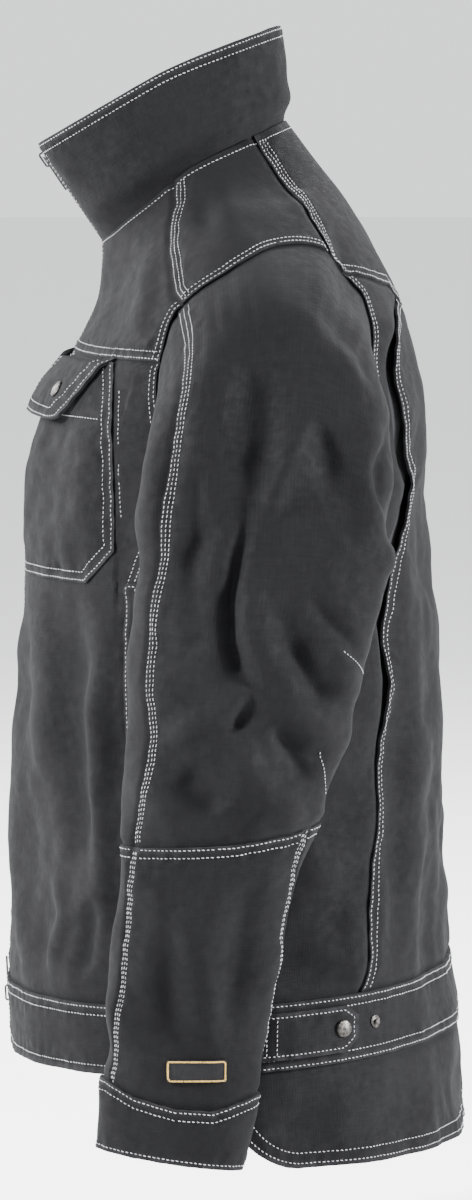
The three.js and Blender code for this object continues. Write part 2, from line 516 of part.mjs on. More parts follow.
const sliderShape = (() => {
  const a = toManifold(new THREE.ExtrudeGeometry(plate, { depth: 2, bevelEnabled: false }).translate(0, 0, PLATE_BACK));
  const arch = new THREE.ExtrudeGeometry(bridge, { depth: 2.4, bevelEnabled: false }).rotateX(Math.PI / 2).rotateZ(Math.PI / 2).translate(-1.2, 0, PLATE_BACK + 1.6);
  return fromManifold(a.add(toManifold(arch)));
})();
const pull = new THREE.Shape();
pull.moveTo(-3.4, 2.2); pull.lineTo(3.4, 2.2); pull.lineTo(3.4, -7.7); pull.lineTo(4.2, -24); pull.lineTo(3, -27); pull.lineTo(-3, -27); pull.lineTo(-4.2, -24); pull.lineTo(-3.4, -7.7); pull.closePath();
const eye = new THREE.Path();
eye.moveTo(-2.1, 0.9); eye.lineTo(-2.1, -7); eye.lineTo(2.1, -7); eye.lineTo(2.1, 0.9); eye.closePath();
pull.holes.push(eye);
const PULL_AT = 1.15; // height of the pull's own middle over the cloth's face
const pullShape = new THREE.ExtrudeGeometry(pull, { depth: 1.3, bevelEnabled: false }).translate(0, 0, PULL_AT - 0.65);
const T_TOP = 0.016, T_LOW = 0.955;
add('zip_slider_top', placeOnZip(sliderShape, T_TOP), BLACK_METAL);
add('zip_pull_top', placeOnZip(pullShape, T_TOP), BLACK_METAL);
add('zip_slider_bottom', placeOnZip(sliderShape, T_LOW, true), BLACK_METAL);
add('zip_pull_bottom', placeOnZip(pullShape, T_LOW, true), BLACK_METAL);

// Blank woven label on the left forearm, and the hanger loop inside the back neck
const labelSheet = keepAll(outerSheet, [(q) => q.p.x - 270, (q) => q.p.y + 83, (q) => -42 - q.p.y, (q) => -649 - q.p.z, (q) => q.p.z + 664.5]);
add('sleeve_label', thicken(labelSheet, 1.5, 0.5), LABEL);
const strip = new THREE.Shape();
strip.moveTo(-3.5, -0.8); strip.lineTo(3.5, -0.8); strip.lineTo(3.5, 0.8); strip.lineTo(-3.5, 0.8); strip.closePath();
const loopPath = new THREE.CatmullRomCurve3([[-34, -15, -10], [-26, -13.5, -10.2], [-13, -12.6, -10.3], [0, -12, -10.4], [13, -12.6, -10.3], [26, -13.5, -10.2], [34, -15, -10]].map((p) => new THREE.Vector3(...p)));
add('hanger_loop', outward(new THREE.ExtrudeGeometry(strip, { steps: 12, bevelEnabled: false, extrudePath: loopPath })), DARK);

export default jacket;
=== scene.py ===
import bpy, math
import numpy as np
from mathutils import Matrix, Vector


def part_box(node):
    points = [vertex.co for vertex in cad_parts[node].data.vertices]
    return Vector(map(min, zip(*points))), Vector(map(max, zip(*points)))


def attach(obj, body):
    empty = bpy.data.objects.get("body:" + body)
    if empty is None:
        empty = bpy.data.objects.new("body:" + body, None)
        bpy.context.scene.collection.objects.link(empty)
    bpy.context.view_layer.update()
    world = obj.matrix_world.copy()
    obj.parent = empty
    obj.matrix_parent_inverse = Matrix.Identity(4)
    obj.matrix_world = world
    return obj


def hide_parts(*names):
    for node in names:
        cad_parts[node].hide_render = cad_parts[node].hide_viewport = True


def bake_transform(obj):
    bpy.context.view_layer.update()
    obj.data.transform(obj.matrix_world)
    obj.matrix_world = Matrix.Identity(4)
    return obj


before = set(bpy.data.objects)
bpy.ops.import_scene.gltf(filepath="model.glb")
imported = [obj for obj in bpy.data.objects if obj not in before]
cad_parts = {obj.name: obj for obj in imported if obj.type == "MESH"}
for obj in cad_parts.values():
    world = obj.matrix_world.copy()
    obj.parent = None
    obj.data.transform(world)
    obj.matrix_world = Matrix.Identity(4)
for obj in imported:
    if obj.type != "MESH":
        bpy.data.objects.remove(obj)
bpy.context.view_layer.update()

R = np.random.default_rng(7)
pi = math.pi

# ---------------------------------------------------------------- base shape (mm, before the move to the row frame)
MOVE = np.array([0.0, 12.0, 10.0])
BODY = np.array([
 [-134,-89,-70,-32,0,0,78,1],[-134,-108,-58,-54,27,-36,112,1],[-138,-135,-40,-72,48,-64,158,1],[-155,-170,-16,-94,75,-108,205,.98],
 [-171,-203,-2,-118,89,-146,232,.96],[-181,-243,0,-180,102.5,-205,236,.93],[-187,-285,-6,-250,102.5,-265,230,.9],[-190.5,-330,-18,-325,105.5,-325,224,.88],
 [-192.5,-388,-24,-382,108.5,-380,221,.88],[-195.3,-450,-30,-445,112.5,-440,219,.88],[-198.2,-512,-34,-508,116.5,-500,219,.88],[-201,-572,-36,-568,117.5,-560,221,.88],
 [-203.5,-628,-36,-624,119.5,-614,223,.88],[-201,-678,-36,-672,124,-659,226,.88],[-198,-745,-34,-740,131,-737,229,.88]], float)
COLLAR = np.array([[-134,-89,-70,-32,0,0,78,1],[-148,-68.4,-75,-14,1,18,80,1],[-166,-42,-80,12,-1,42,81,1],[-181,-20,-86,36,-4,67,82,1]], float)
ARMHOLE = np.array([[2,-85],[24,-88],[40,-97],[54,-112],[65,-138],[70,-172],[69,-212],[61,-252],[44,-288],[19,-313],[-12,-321],[-42,-312],[-65,-290],[-80,-256],[-88,-218],[-91,-186],[-88,-158],[-79,-136],[-64,-121],[-45,-107],[-27,-95],[-10,-87]], float)
MID = np.array([-10.0, -205.0])
SLEEVE = np.array([
 [230,-326,291,-176,-10.4,86,0],[230.5,-330,307,-229,-16,86.5,0],[231,-336,317,-283,-18,86.5,0],[231,-346,323,-330,-22.5,85,0],[231,-371,326,-371,-27.7,81.3,0],
 [232,-422,327,-422,-33.7,74.8,0],[233,-474,326,-474,-43.3,70.9,0],[234,-526,323,-526,-52.6,63.8,0],[236,-571,318,-571,-61.5,59.5,0],[239,-616,312,-616,-68,56.7,-.04],
 [241,-664,307,-664,-71.6,53.4,-.1],[243,-722,306,-722,-81.3,51,-.157]], float)

def spow(x, p): return np.sign(x) * np.abs(x) ** p
def ring_pts(r, u):
    a = u * 2 * pi
    p = r[..., 7]
    s, k = spow(np.sin(a), p), spow(np.cos(a), p)
    q = np.sqrt(k * k + 0.0324); nm = 0.5 * (1 + math.sqrt(1.0324))
    kf, kb = 0.5 * (k + q) / nm, 0.5 * (q - k) / nm
    return np.stack([r[..., 6] * s, r[..., 2] + (r[..., 0] - r[..., 2]) * kf + (r[..., 4] - r[..., 2]) * kb,
                     r[..., 3] + (r[..., 1] - r[..., 3]) * kf + (r[..., 5] - r[..., 3]) * kb], -1)
def sleeve_pts(r, u):
    a = u * 2 * pi
    c, s = spow(np.cos(a), .94), spow(np.sin(a), .94)
    return np.stack([(r[..., 0] + r[..., 2]) / 2 + (r[..., 2] - r[..., 0]) / 2 * c, r[..., 4] + r[..., 5] * s,
                     (r[..., 1] + r[..., 3]) / 2 + (r[..., 3] - r[..., 1]) / 2 * c + r[..., 6] * r[..., 5] * s], -1)
def surf(rows, f, u, v):
    u, v = np.broadcast_arrays(np.asarray(u, float), np.asarray(v, float))
    n = len(rows) - 1
    i = np.clip(np.floor(v).astype(int), 0, n - 1)
    t = (v - i)[..., None]
    def get(k):
        kc = np.clip(k, 0, n)
        out = f(rows[kc], u)
        lo, hi = (k < 0)[..., None], (k > n)[..., None]
        out = np.where(lo, 2 * f(rows[np.zeros_like(kc)], u) - f(rows[np.ones_like(kc)], u), out)
        return np.where(hi, 2 * f(rows[np.full_like(kc, n)], u) - f(rows[np.full_like(kc, n - 1)], u), out)
    a, b, c, d = get(i - 1), get(i), get(i + 1), get(i + 2)
    return .5 * (2 * b + (c - a) * t + (2 * a - 5 * b + 4 * c - d) * t * t + (3 * b - a - 3 * c + d) * t ** 3)
def body(u, v): return surf(BODY, ring_pts, u, v)
def collar(u, v): return surf(COLLAR, ring_pts, u, v)

_pol = np.array(sorted([(math.atan2(y - MID[0], z - MID[1]), math.hypot(y - MID[0], z - MID[1])) for y, z in ARMHOLE]))
_pa = np.concatenate([_pol[-3:, 0] - 2 * pi, _pol[:, 0], _pol[:3, 0] + 2 * pi]); _pr = np.concatenate([_pol[-3:, 1], _pol[:, 1], _pol[:3, 1]])
def arm_radius(angle):
    a = np.arctan2(np.sin(angle), np.cos(angle))
    i = np.clip(np.searchsorted(_pa, a, side="right"), 2, len(_pa) - 2)
    t = (a - _pa[i - 1]) / (_pa[i] - _pa[i - 1])
    p0, p1, p2, p3 = _pr[i - 2], _pr[i - 1], _pr[i], _pr[i + 1]
    return .5 * (2 * p1 + (p2 - p0) * t + (2 * p0 - 5 * p1 + 4 * p2 - p3) * t * t + (3 * p1 - p0 - 3 * p2 + p3) * t ** 3)
def on_side(y, z):
    gu, gv = np.meshgrid(.1 + .3 * np.arange(25) / 24, 1 + 7 * np.arange(29) / 28)
    gp = body(gu, gv)
    k = [int(np.argmin((gp[..., 1] - a) ** 2 + (gp[..., 2] - b) ** 2)) for a, b in zip(y, z)]
    u, v = gu.ravel()[k].copy(), gv.ravel()[k].copy()
    for _ in range(8):
        e = 1e-4
        p, a, b = body(u, v), body(u + e, v), body(u, v + e)
        m0, m1, m2, m3 = (a[:, 1] - p[:, 1]) / e, (b[:, 1] - p[:, 1]) / e, (a[:, 2] - p[:, 2]) / e, (b[:, 2] - p[:, 2]) / e
        det = m0 * m3 - m1 * m2; dy, dz = y - p[:, 1], z - p[:, 2]
        u += (m3 * dy - m1 * dz) / det; v += (m0 * dz - m2 * dy) / det
    return u, v
def unit(x): return x / np.maximum(np.linalg.norm(x, axis=-1, keepdims=True), 1e-9)
def sleeve_grid(us, vs):
    a = us * 2 * pi; r = arm_radius(a)
    au, av = on_side(MID[0] + r * np.sin(a), MID[1] + r * np.cos(a))
    A = body(au, av)
    B = surf(SLEEVE, sleeve_pts, us, np.zeros_like(us))
    size = np.linalg.norm(B - A, axis=1, keepdims=True)
    d0 = unit(np.stack([np.ones_like(us), 0 * us, -.16 * (1 + np.cos(a)) - .05], 1)) * size
    d1 = unit(surf(SLEEVE, sleeve_pts, us, np.full_like(us, .05)) - B) * size
    out = np.empty((len(vs), len(us), 3))
    for j, v in enumerate(vs):
        if v >= 1: out[j] = surf(SLEEVE, sleeve_pts, us, np.full_like(us, v - 1))
        else:
            t = v; out[j] = A * (2*t**3-3*t**2+1) + d0 * (t**3-2*t**2+t) + B * (-2*t**3+3*t**2) + d1 * (t**3-t**2)
    return out, au, av

# ---------------------------------------------------------------- grids
def normals(P, wrap, sign):
    du = (np.roll(P, -1, 1) - np.roll(P, 1, 1)) if wrap else np.gradient(P, axis=1)
    return unit(np.cross(du, np.gradient(P, axis=0))) * sign
class Grid:
    def __init__(s, P, wrap, sign, uv):
        s.P, s.wrap, s.sign, s.uv = P, wrap, sign, uv
        s.N = normals(P, wrap, sign)
        nv, nu = P.shape[:2]; m = nu if wrap else nu - 1
        j, i = np.meshgrid(np.arange(nv - 1), np.arange(m), indexing="ij")
        a, b = j * nu + i, j * nu + (i + 1) % nu; c, d = a + nu, b + nu
        odd = ((i + j) % 2 == 0)[..., None]
        t1 = np.where(odd, np.stack([a, c, d], -1), np.stack([a, c, b], -1)); t2 = np.where(odd, np.stack([a, d, b], -1), np.stack([b, c, d], -1))
        T = np.concatenate([t1.reshape(-1, 3), t2.reshape(-1, 3)])
        s.T = T if sign < 0 else T[:, ::-1]
def even(fn, a, b, step, at):
    """Values from a to b whose points are about step apart."""
    v = np.linspace(a, b, 1500); p = np.mean([np.linalg.norm(np.diff(fn(np.full_like(v, u), v), axis=0), axis=1) for u in at], 0)
    s = np.concatenate([[0], np.cumsum(p)]); n = max(3, int(s[-1] / step))
    return np.interp(np.linspace(0, s[-1], n + 1), s, v), s[-1]
STEP = 2.3

def waves(seed, lam, n=26, stretch=(1, 1, 1)):
    r = np.random.default_rng(seed); k = r.normal(size=(n, 3)); k /= np.linalg.norm(k, axis=1, keepdims=True)
    k *= (2 * pi / (lam * r.uniform(.75, 1.5, n)))[:, None] / np.array(stretch); ph = r.uniform(0, 2 * pi, n)
    def f(p):
        out = np.zeros(p.shape[:-1])
        for i in range(n): out += np.sin(p @ k[i] + ph[i])
        return out / math.sqrt(n / 2)
    return f
N_BIG, N_MID, N_SMALL, N_FOLD = waves(1, 170), waves(2, 62), waves(3, 21), waves(4, 60, 26, (1, 1, 3.2))
N_WARPY, N_WARPZ, N_PUCK = waves(5, 150), waves(6, 150), waves(8, 9.5)
S_DIAG = waves(11, 46, 26, (1, 1.6, 1))
def smooth(x, a, b):
    t = np.clip((x - a) / (b - a), 0, 1); return t * t * (3 - 2 * t)
def picture(p):
    """The side view of a point, in drawing units of 0.735 mm from the drawing's top left."""
    k = 5000 / (5000 - np.abs(p[..., 0]))
    return np.stack([(-35 + (p[..., 1] + 35) * k) / .735 + 284, 118 - (60 + (p[..., 2] - 60) * k) / .735], -1)
def seg_dist(q, line, chunk=60000):
    """Distance to a polyline and the place along it, 0 to 1."""
    line = np.asarray(line, float); a, b = line[:-1], line[1:]; ab = b - a; L2 = np.maximum((ab ** 2).sum(1), 1e-9)
    ln = np.sqrt(L2); start = np.concatenate([[0], np.cumsum(ln)])[:-1]; total = ln.sum()
    flat = q.reshape(-1, q.shape[-1]); D = np.empty(len(flat)); W = np.empty(len(flat))
    for c in range(0, len(flat), chunk):
        x = flat[c:c + chunk, None, :] - a; t = np.clip((x * ab).sum(-1) / L2, 0, 1)
        d = np.linalg.norm(x - t[..., None] * ab, axis=-1); k = d.argmin(1); r = np.arange(len(k))
        D[c:c + chunk] = d[r, k]; W[c:c + chunk] = (start[k] + t[r, k] * ln[k]) / total
    return D.reshape(q.shape[:-1]), W.reshape(q.shape[:-1])
# Folds: line, height in mm (ridge above 0, valley below), half width in drawing units, 1 for a sharp crease
SLEEVE_FOLDS = [
 ([(222,316),(210,400),(197,495)], 3.2, 17, 0), ([(255,280),(257,380),(262,495)], -5.5, 22, 0), ([(296,434),(280,480),(263,520)], 3.6, 11, 0),
 ([(332,301),(352,350),(370,418),(375,495),(365,571)], 3.6, 13, 0), ([(304,278),(330,310),(360,347),(378,403)], -4.2, 13, 0), ([(319,418),(332,482)], -3.4, 12, 0),
 ([(388,335),(396,385),(396,425)], 4.5, 17, 0), ([(386,440),(374,470),(382,514)], -4.5, 9, 1), ([(392,540),(384,575)], 3.2, 12, 0), ([(160,355),(154,440),(150,560)], 2.2, 12, 0),
 ([(248,515),(236,560),(232,600),(232,640),(240,664),(257,686)], -6.5, 8, 1), ([(246,580),(254,612),(266,645)], 4.2, 10, 0),
 ([(243,612),(266,668),(294,708),(340,733)], 5.2, 14, 0), ([(217,520),(181,571)], -2.6, 12, 0), ([(264,686),(240,698),(204,720),(168,743)], 4.4, 11, 0),
 ([(253,688),(243,712),(231,735)], -3.6, 6, 1), ([(235,739),(250,775),(268,802),(312,814)], 4.0, 14, 0), ([(276,722),(304,773),(318,786)], -4.2, 11, 1),
 ([(178,773),(200,790),(223,814)], -2.8, 16, 0), ([(284,631),(306,680),(328,712)], -3.2, 12, 0), ([(341,651),(345,702)], 2.8, 10, 0),
 ([(310,600),(345,640),(362,668)], -2.4, 8, 1), ([(150,640),(182,650),(215,640)], -1.8, 9, 0), ([(150,690),(190,700),(224,690)], 1.6, 9, 0),
 ([(150,880),(200,960),(215,1060)], 1.8, 20, 0), ([(250,870),(240,960),(225,1050)], -2.0, 16, 0), ([(175,880),(170,980),(180,1060)], -1.6, 14, 0),
 ([(320,540),(352,548),(384,540)], 2.6, 12, 0), ([(330,760),(300,750),(284,742)], -1.6, 8, 1), ([(205,430),(196,520),(192,610)], -1.6, 10, 0)]
BODY_FOLDS = [
 ([(300,160),(306,190),(298,216)], 2.0, 10, 0), ([(280,170),(284,205)], -1.8, 9, 0), ([(220,150),(232,190),(226,225)], 1.6, 12, 0), ([(200,180),(206,230)], -1.6, 11, 0),
 ([(35,600),(45,700),(30,820)], 3.2, 14, 0), ([(75,610),(68,740),(80,880)], -3.4, 14, 0), ([(100,640),(96,780),(104,930)], 2.6, 12, 0), ([(20,640),(16,800),(30,950)], -2.2, 12, 0),
 ([(50,860),(62,920),(48,985)], 2.4, 10, 0), ([(95,900),(84,985)], -2.2, 9, 0), ([(380,420),(396,560),(384,700)], -2.2, 12, 0), ([(420,560),(424,720),(414,900)], 2.8, 15, 0),
 ([(398,640),(402,800),(396,960)], -2.6, 12, 0), ([(440,700),(432,860),(440,960)], -2.0, 10, 0), ([(350,900),(356,1000)], 2.0, 10, 0), ([(330,220),(352,262),(362,300)], -2.2, 9, 0),
 ([(372,240),(392,300),(400,350)], 1.8, 12, 0), ([(130,200),(120,260),(104,330)], -2.0, 14, 0), ([(150,240),(146,300),(130,350)], 1.8, 10, 0)]
FOLD = 2.9
def folds(p, table, right):
    q = picture(p)
    if right:
        q = q + np.stack([N_WARPY(p), N_WARPZ(p)], -1) * 17; amp = .75
    else: amp = 1
    D = np.zeros(p.shape[:-1])
    for line, h, w, sharp in table:
        lo, hi = np.min(line, 0) - 3.2 * w, np.max(line, 0) + 3.2 * w
        m = (q > lo).all(-1) & (q < hi).all(-1)
        if not m.any(): continue
        d, t = seg_dist(q[m], line)
        end = smooth(np.minimum(t, 1 - t), -.02, .28) * .85 + .15
        D[m] += (2.9 if sharp else FOLD) * h * amp * end * (np.exp(-(d / (w * .8)) ** 1.4) if sharp else np.exp(-(d / w) ** 2))
    return D

# ---------------------------------------------------------------- clipping and meshes
def clip(A, T, col):
    F = A[:, col]; inside = F >= 0; n = len(A); c = inside[T].sum(1)
    full, part = T[c == 3], T[(c == 1) | (c == 2)]
    if len(part):
        ins = inside[part]; one = ins.sum(1) == 1
        odd = np.where(one, ins.argmax(1), (~ins).argmax(1))
        a, b, d = np.take_along_axis(part, (odd[:, None] + np.arange(3)) % 3, 1).T
        key = lambda i, j: np.minimum(i, j) * n + np.maximum(i, j)
        uk, inv = np.unique(np.concatenate([key(a, b), key(a, d)]), return_inverse=True)
        lo, hi = uk // n, uk % n; t = (F[lo] / (F[lo] - F[hi]))[:, None]
        A = np.vstack([A, A[lo] + (A[hi] - A[lo]) * t]); inv = inv.ravel() + n; ab, ad = inv[:len(a)], inv[len(a):]
        t1 = np.stack([a, ab, ad], 1)[one]; t2 = np.concatenate([np.stack([ab, b, d], 1)[~one], np.stack([ab, d, ad], 1)[~one]])
        T = np.concatenate([full, t1, t2])
    else: T = full
    used = np.unique(T); back = np.zeros(len(A), int); back[used] = np.arange(len(used))
    return A[used], back[T]
def weld(A, T, eps=.02):
    """Drops slivers: vertices closer than eps become one."""
    k = np.round(A[:, :3] / eps).astype(np.int64); _, first, inv = np.unique(k, axis=0, return_index=True, return_inverse=True)
    T = inv.ravel()[T]; ok = (T[:, 0] != T[:, 1]) & (T[:, 1] != T[:, 2]) & (T[:, 2] != T[:, 0])
    return A[first], T[ok]

def new_mesh(name, V, F, mat, uv=None, wear=None, sharp=45):
    me = bpy.data.meshes.new(name)
    V = (np.asarray(V) + MOVE) * .001
    me.vertices.add(len(V)); me.vertices.foreach_set("co", V.astype(np.float32).ravel())
    F = np.asarray(F, np.int32); k = F.shape[1]
    me.loops.add(F.size); me.loops.foreach_set("vertex_index", F.ravel())
    me.polygons.add(len(F)); me.polygons.foreach_set("loop_start", np.arange(0, F.size, k, dtype=np.int32)); me.polygons.foreach_set("loop_total", np.full(len(F), k, np.int32))
    me.update(calc_edges=True); me.validate()
    if uv is not None and len(me.loops) == F.size:
        me.uv_layers.new(name="UVMap").data.foreach_set("uv", (np.asarray(uv)[F.ravel()] * .001).astype(np.float32).ravel())
    if wear is not None: me.attributes.new("wear", "FLOAT", "POINT").data.foreach_set("value", np.asarray(wear, np.float32))
    me.polygons.foreach_set("use_smooth", np.ones(len(me.polygons), bool))
    if sharp: me.set_sharp_from_angle(angle=math.radians(sharp))
    me.materials.append(mat)
    o = bpy.data.objects.new(name if name.startswith(("stitching", "label_border")) else name + "_cloth", me); bpy.context.scene.collection.objects.link(o)
    return o
def thick_mesh(name, A, T, thick, mat, inner=0.0, sharp=45):
    """A: P 0-2, N 3-5, uv 6-7, wear 8. Closed, with a turned rim."""
    n = len(A); P, N = A[:, :3], unit(A[:, 3:6])
    E = np.concatenate([T[:, [0, 1]], T[:, [1, 2]], T[:, [2, 0]]]); key = E[:, 0].astype(np.int64) * n + E[:, 1]; rev = E[:, 1].astype(np.int64) * n + E[:, 0]
    rim = E[~np.isin(key, rev)]
    rv = np.unique(rim); low = P - N * thick
    V = np.vstack([P, low]); F = np.concatenate([T, (T + n)[:, ::-1], np.stack([rim[:, 1], rim[:, 0], rim[:, 0] + n], 1), np.stack([rim[:, 1], rim[:, 0] + n, rim[:, 1] + n], 1)])
    o = new_mesh(name, V, F, mat, np.vstack([A[:, 6:8]] * 2), np.concatenate([A[:, 8]] * 2), sharp)
    x = P[T]; o["area"] = float(np.linalg.norm(np.cross(x[:, 1] - x[:, 0], x[:, 2] - x[:, 0]), axis=1).sum() / 2e6)
    return o

# ---------------------------------------------------------------- materials
class M:
    def __init__(s, name):
        s.m = bpy.data.materials.new(name); s.m.use_nodes = True; s.t = s.m.node_tree; s.n = s.t.nodes; s.b = s.n["Principled BSDF"]; s.l = s.t.links
    def node(s, kind, **k):
        x = s.n.new(kind)
        for a, b in k.items():
            if a.startswith("i_"): x.inputs[a[2:].replace("_", " ")].default_value = b
            else: setattr(x, a, b)
        return x
    def mapping(s, scale, coord="UV"):
        t = s.node("ShaderNodeTexCoord"); m = s.node("ShaderNodeMapping"); m.inputs["Scale"].default_value = scale; s.l.new(t.outputs[coord], m.inputs["Vector"]); return m.outputs["Vector"]
    def ramp(s, src, stops):
        r = s.node("ShaderNodeValToRGB"); e = r.color_ramp.elements
        while len(e) < len(stops): e.new(.5)
        for x, (p, c) in zip(e, stops): x.position = p; x.color = (*c, 1) if len(c) == 3 else c
        s.l.new(src, r.inputs["Fac"]); return r.outputs["Color"]
    def mix(s, fac, a, b, kind="MIX"):
        x = s.node("ShaderNodeMix", data_type="RGBA", blend_type=kind)
        for k, v in ((0, fac), (6, a), (7, b)):
            if hasattr(v, "is_linked"): s.l.new(v, x.inputs[k])
            else: x.inputs[k].default_value = v if k == 0 else (*v, 1)
        return x.outputs[2]
    def math(s, op, a, b=None):
        x = s.node("ShaderNodeMath", operation=op)
        for k, v in ((0, a), (1, b)):
            if v is None: continue
            if hasattr(v, "is_linked"): s.l.new(v, x.inputs[k])
            else: x.inputs[k].default_value = v
        return x.outputs[0]
def cloth(name, dark, light, worn, weave=.00115, rough=.82, bump=.25, sheen=.015):
    m = M(name)
    uv = m.mapping((1, 1, 1)); ob = m.mapping((1, 1, 1), "Object")
    wx = m.node("ShaderNodeTexWave", wave_type="BANDS", bands_direction="X", wave_profile="SIN"); wx.inputs["Scale"].default_value = 1 / weave / 3.1416 * .5; wx.inputs["Distortion"].default_value = .35; wx.inputs["Detail Scale"].default_value = 3
    wy = m.node("ShaderNodeTexWave", wave_type="BANDS", bands_direction="Y", wave_profile="SIN"); wy.inputs["Scale"].default_value = 1 / weave / 3.1416 * .5; wy.inputs["Distortion"].default_value = .35; wy.inputs["Detail Scale"].default_value = 3
    for w in (wx, wy): m.l.new(uv, w.inputs["Vector"])
    weav = m.math("MULTIPLY", wx.outputs["Fac"], wy.outputs["Fac"])
    yarn = m.node("ShaderNodeTexNoise"); yarn.inputs["Scale"].default_value = 1; yarn.inputs["Detail"].default_value = 2
    m.l.new(m.mapping((900, 90, 1)), yarn.inputs["Vector"])
    yarn2 = m.node("ShaderNodeTexNoise"); yarn2.inputs["Scale"].default_value = 1; yarn2.inputs["Detail"].default_value = 2
    m.l.new(m.mapping((90, 900, 1)), yarn2.inputs["Vector"])
    big = m.node("ShaderNodeTexNoise"); big.inputs["Scale"].default_value = 9; big.inputs["Detail"].default_value = 5; big.inputs["Roughness"].default_value = .6
    m.l.new(ob, big.inputs["Vector"])
    fine = m.node("ShaderNodeTexNoise"); fine.inputs["Scale"].default_value = 160; fine.inputs["Detail"].default_value = 4
    m.l.new(ob, fine.inputs["Vector"])
    base = m.ramp(big.outputs["Fac"], [(.3, dark), (.7, light)])
    y = m.math("MULTIPLY", m.math("ADD", yarn.outputs["Fac"], yarn2.outputs["Fac"]), .5)
    thr = m.ramp(y, [(.38, (.62, .62, .62)), (.62, (1.25, 1.25, 1.25))])
    base = m.mix(.55, base, thr, "MULTIPLY")
    wv = m.ramp(weav, [(0, (.72, .72, .72)), (.6, (1.12, 1.12, 1.12))])
    base = m.mix(.22, base, wv, "MULTIPLY")
    at = m.node("ShaderNodeAttribute", attribute_name="wear")
    wn = m.math("MULTIPLY", at.outputs["Fac"], m.ramp(fine.outputs["Fac"], [(.35, (.15,) * 3), (.65, (1,) * 3)]))
    base = m.mix(wn, base, worn)
    m.l.new(base, m.b.inputs["Base Color"])
    m.l.new(m.ramp(fine.outputs["Fac"], [(.3, (rough - .08,) * 3), (.7, (min(rough + .1, 1),) * 3)]), m.b.inputs["Roughness"])
    m.b.inputs["Sheen Weight"].default_value = sheen; m.b.inputs["Sheen Roughness"].default_value = .45; m.b.inputs["Sheen Tint"].default_value = (.75, .78, .85, 1)
    m.b.inputs["Specular IOR Level"].default_value = .05
    h = m.math("ADD", m.math("MULTIPLY", weav, .5), m.math("MULTIPLY", y, .9))
    bp = m.node("ShaderNodeBump"); bp.inputs["Strength"].default_value = bump; bp.inputs["Distance"].default_value = .0006; m.l.new(h, bp.inputs["Height"])
    cr = m.node("ShaderNodeTexNoise"); cr.inputs["Scale"].default_value = 45; cr.inputs["Detail"].default_value = 4; cr.inputs["Roughness"].default_value = .55; m.l.new(ob, cr.inputs["Vector"])
    b2 = m.node("ShaderNodeBump"); b2.inputs["Strength"].default_value = .35; b2.inputs["Distance"].default_value = .0022; m.l.new(cr.outputs["Fac"], b2.inputs["Height"]); m.l.new(bp.outputs[0], b2.inputs["Normal"])
    m.l.new(b2.outputs[0], m.b.inputs["Normal"])
    return m.m
def metal(name, a, b, rough=(.28, .5), scale=300):
    m = M(name); ob = m.mapping((1, 1, 1), "Object")
    n = m.node("ShaderNodeTexNoise"); n.inputs["Scale"].default_value = scale; n.inputs["Detail"].default_value = 5; m.l.new(ob, n.inputs["Vector"])
    s = m.node("ShaderNodeTexNoise"); s.inputs["Scale"].default_value = 1; m.l.new(m.mapping((2500, 120, 400), "Object"), s.inputs["Vector"])
    m.l.new(m.ramp(n.outputs["Fac"], [(.35, a), (.68, b)]), m.b.inputs["Base Color"])
    m.l.new(m.ramp(s.outputs["Fac"], [(.3, (rough[0],) * 3), (.7, (rough[1],) * 3)]), m.b.inputs["Roughness"])
    m.b.inputs["Metallic"].default_value = 1
    bp = m.node("ShaderNodeBump"); bp.inputs["Strength"].default_value = .2; bp.inputs["Distance"].default_value = .0002; m.l.new(s.outputs["Fac"], bp.inputs["Height"]); m.l.new(bp.outputs[0], m.b.inputs["Normal"])
    return m.m
CANVAS = cloth("canvas_charcoal", (.0028, .0028, .0031), (.0048, .0048, .0053), (.016, .0158, .018))
CANVAS_IN = cloth("canvas_inside", (.0038, .0039, .0042), (.0060, .0061, .0066), (.016, .016, .018))
LINING = cloth("lining_twill", (.010, .010, .0112), (.015, .015, .0166), (.03, .03, .033), weave=.0009, rough=.7)
TAPE = cloth("zip_tape_twill", (.007, .007, .0076), (.012, .012, .013), (.04, .04, .042), weave=.0008)
LABEL = cloth("label_weave", (.006, .006, .0065), (.010, .010, .011), (.05, .05, .05), weave=.0007)
def thread(name, a, b):
    m = M(name); ob = m.mapping((1, 1, 1), "Object")
    n = m.node("ShaderNodeTexNoise"); n.inputs["Scale"].default_value = 120; n.inputs["Detail"].default_value = 3; m.l.new(ob, n.inputs["Vector"])
    w = m.node("ShaderNodeTexWave"); w.inputs["Scale"].default_value = 900; w.bands_direction = "DIAGONAL"; m.l.new(ob, w.inputs["Vector"])
    m.l.new(m.mix(.35, m.ramp(n.outputs["Fac"], [(.3, a), (.7, b)]), m.ramp(w.outputs["Fac"], [(.2, (.55,) * 3), (.6, (1,) * 3)]), "MULTIPLY"), m.b.inputs["Base Color"])
    m.b.inputs["Roughness"].default_value = .6
    bp = m.node("ShaderNodeBump"); bp.inputs["Strength"].default_value = .5; bp.inputs["Distance"].default_value = .0003; m.l.new(w.outputs["Fac"], bp.inputs["Height"]); m.l.new(bp.outputs[0], m.b.inputs["Normal"])
    return m.m
THREAD = thread("thread_grey", (.125, .125, .128), (.25, .25, .255))
OCHRE = thread("thread_ochre", (.20, .12, .02), (.32, .20, .04))
STEEL = metal("snap_antique", (.014, .0135, .013), (.055, .051, .048), (.34, .52))
GUN = metal("zip_gunmetal", (.03, .03, .033), (.09, .09, .095), (.32, .55))

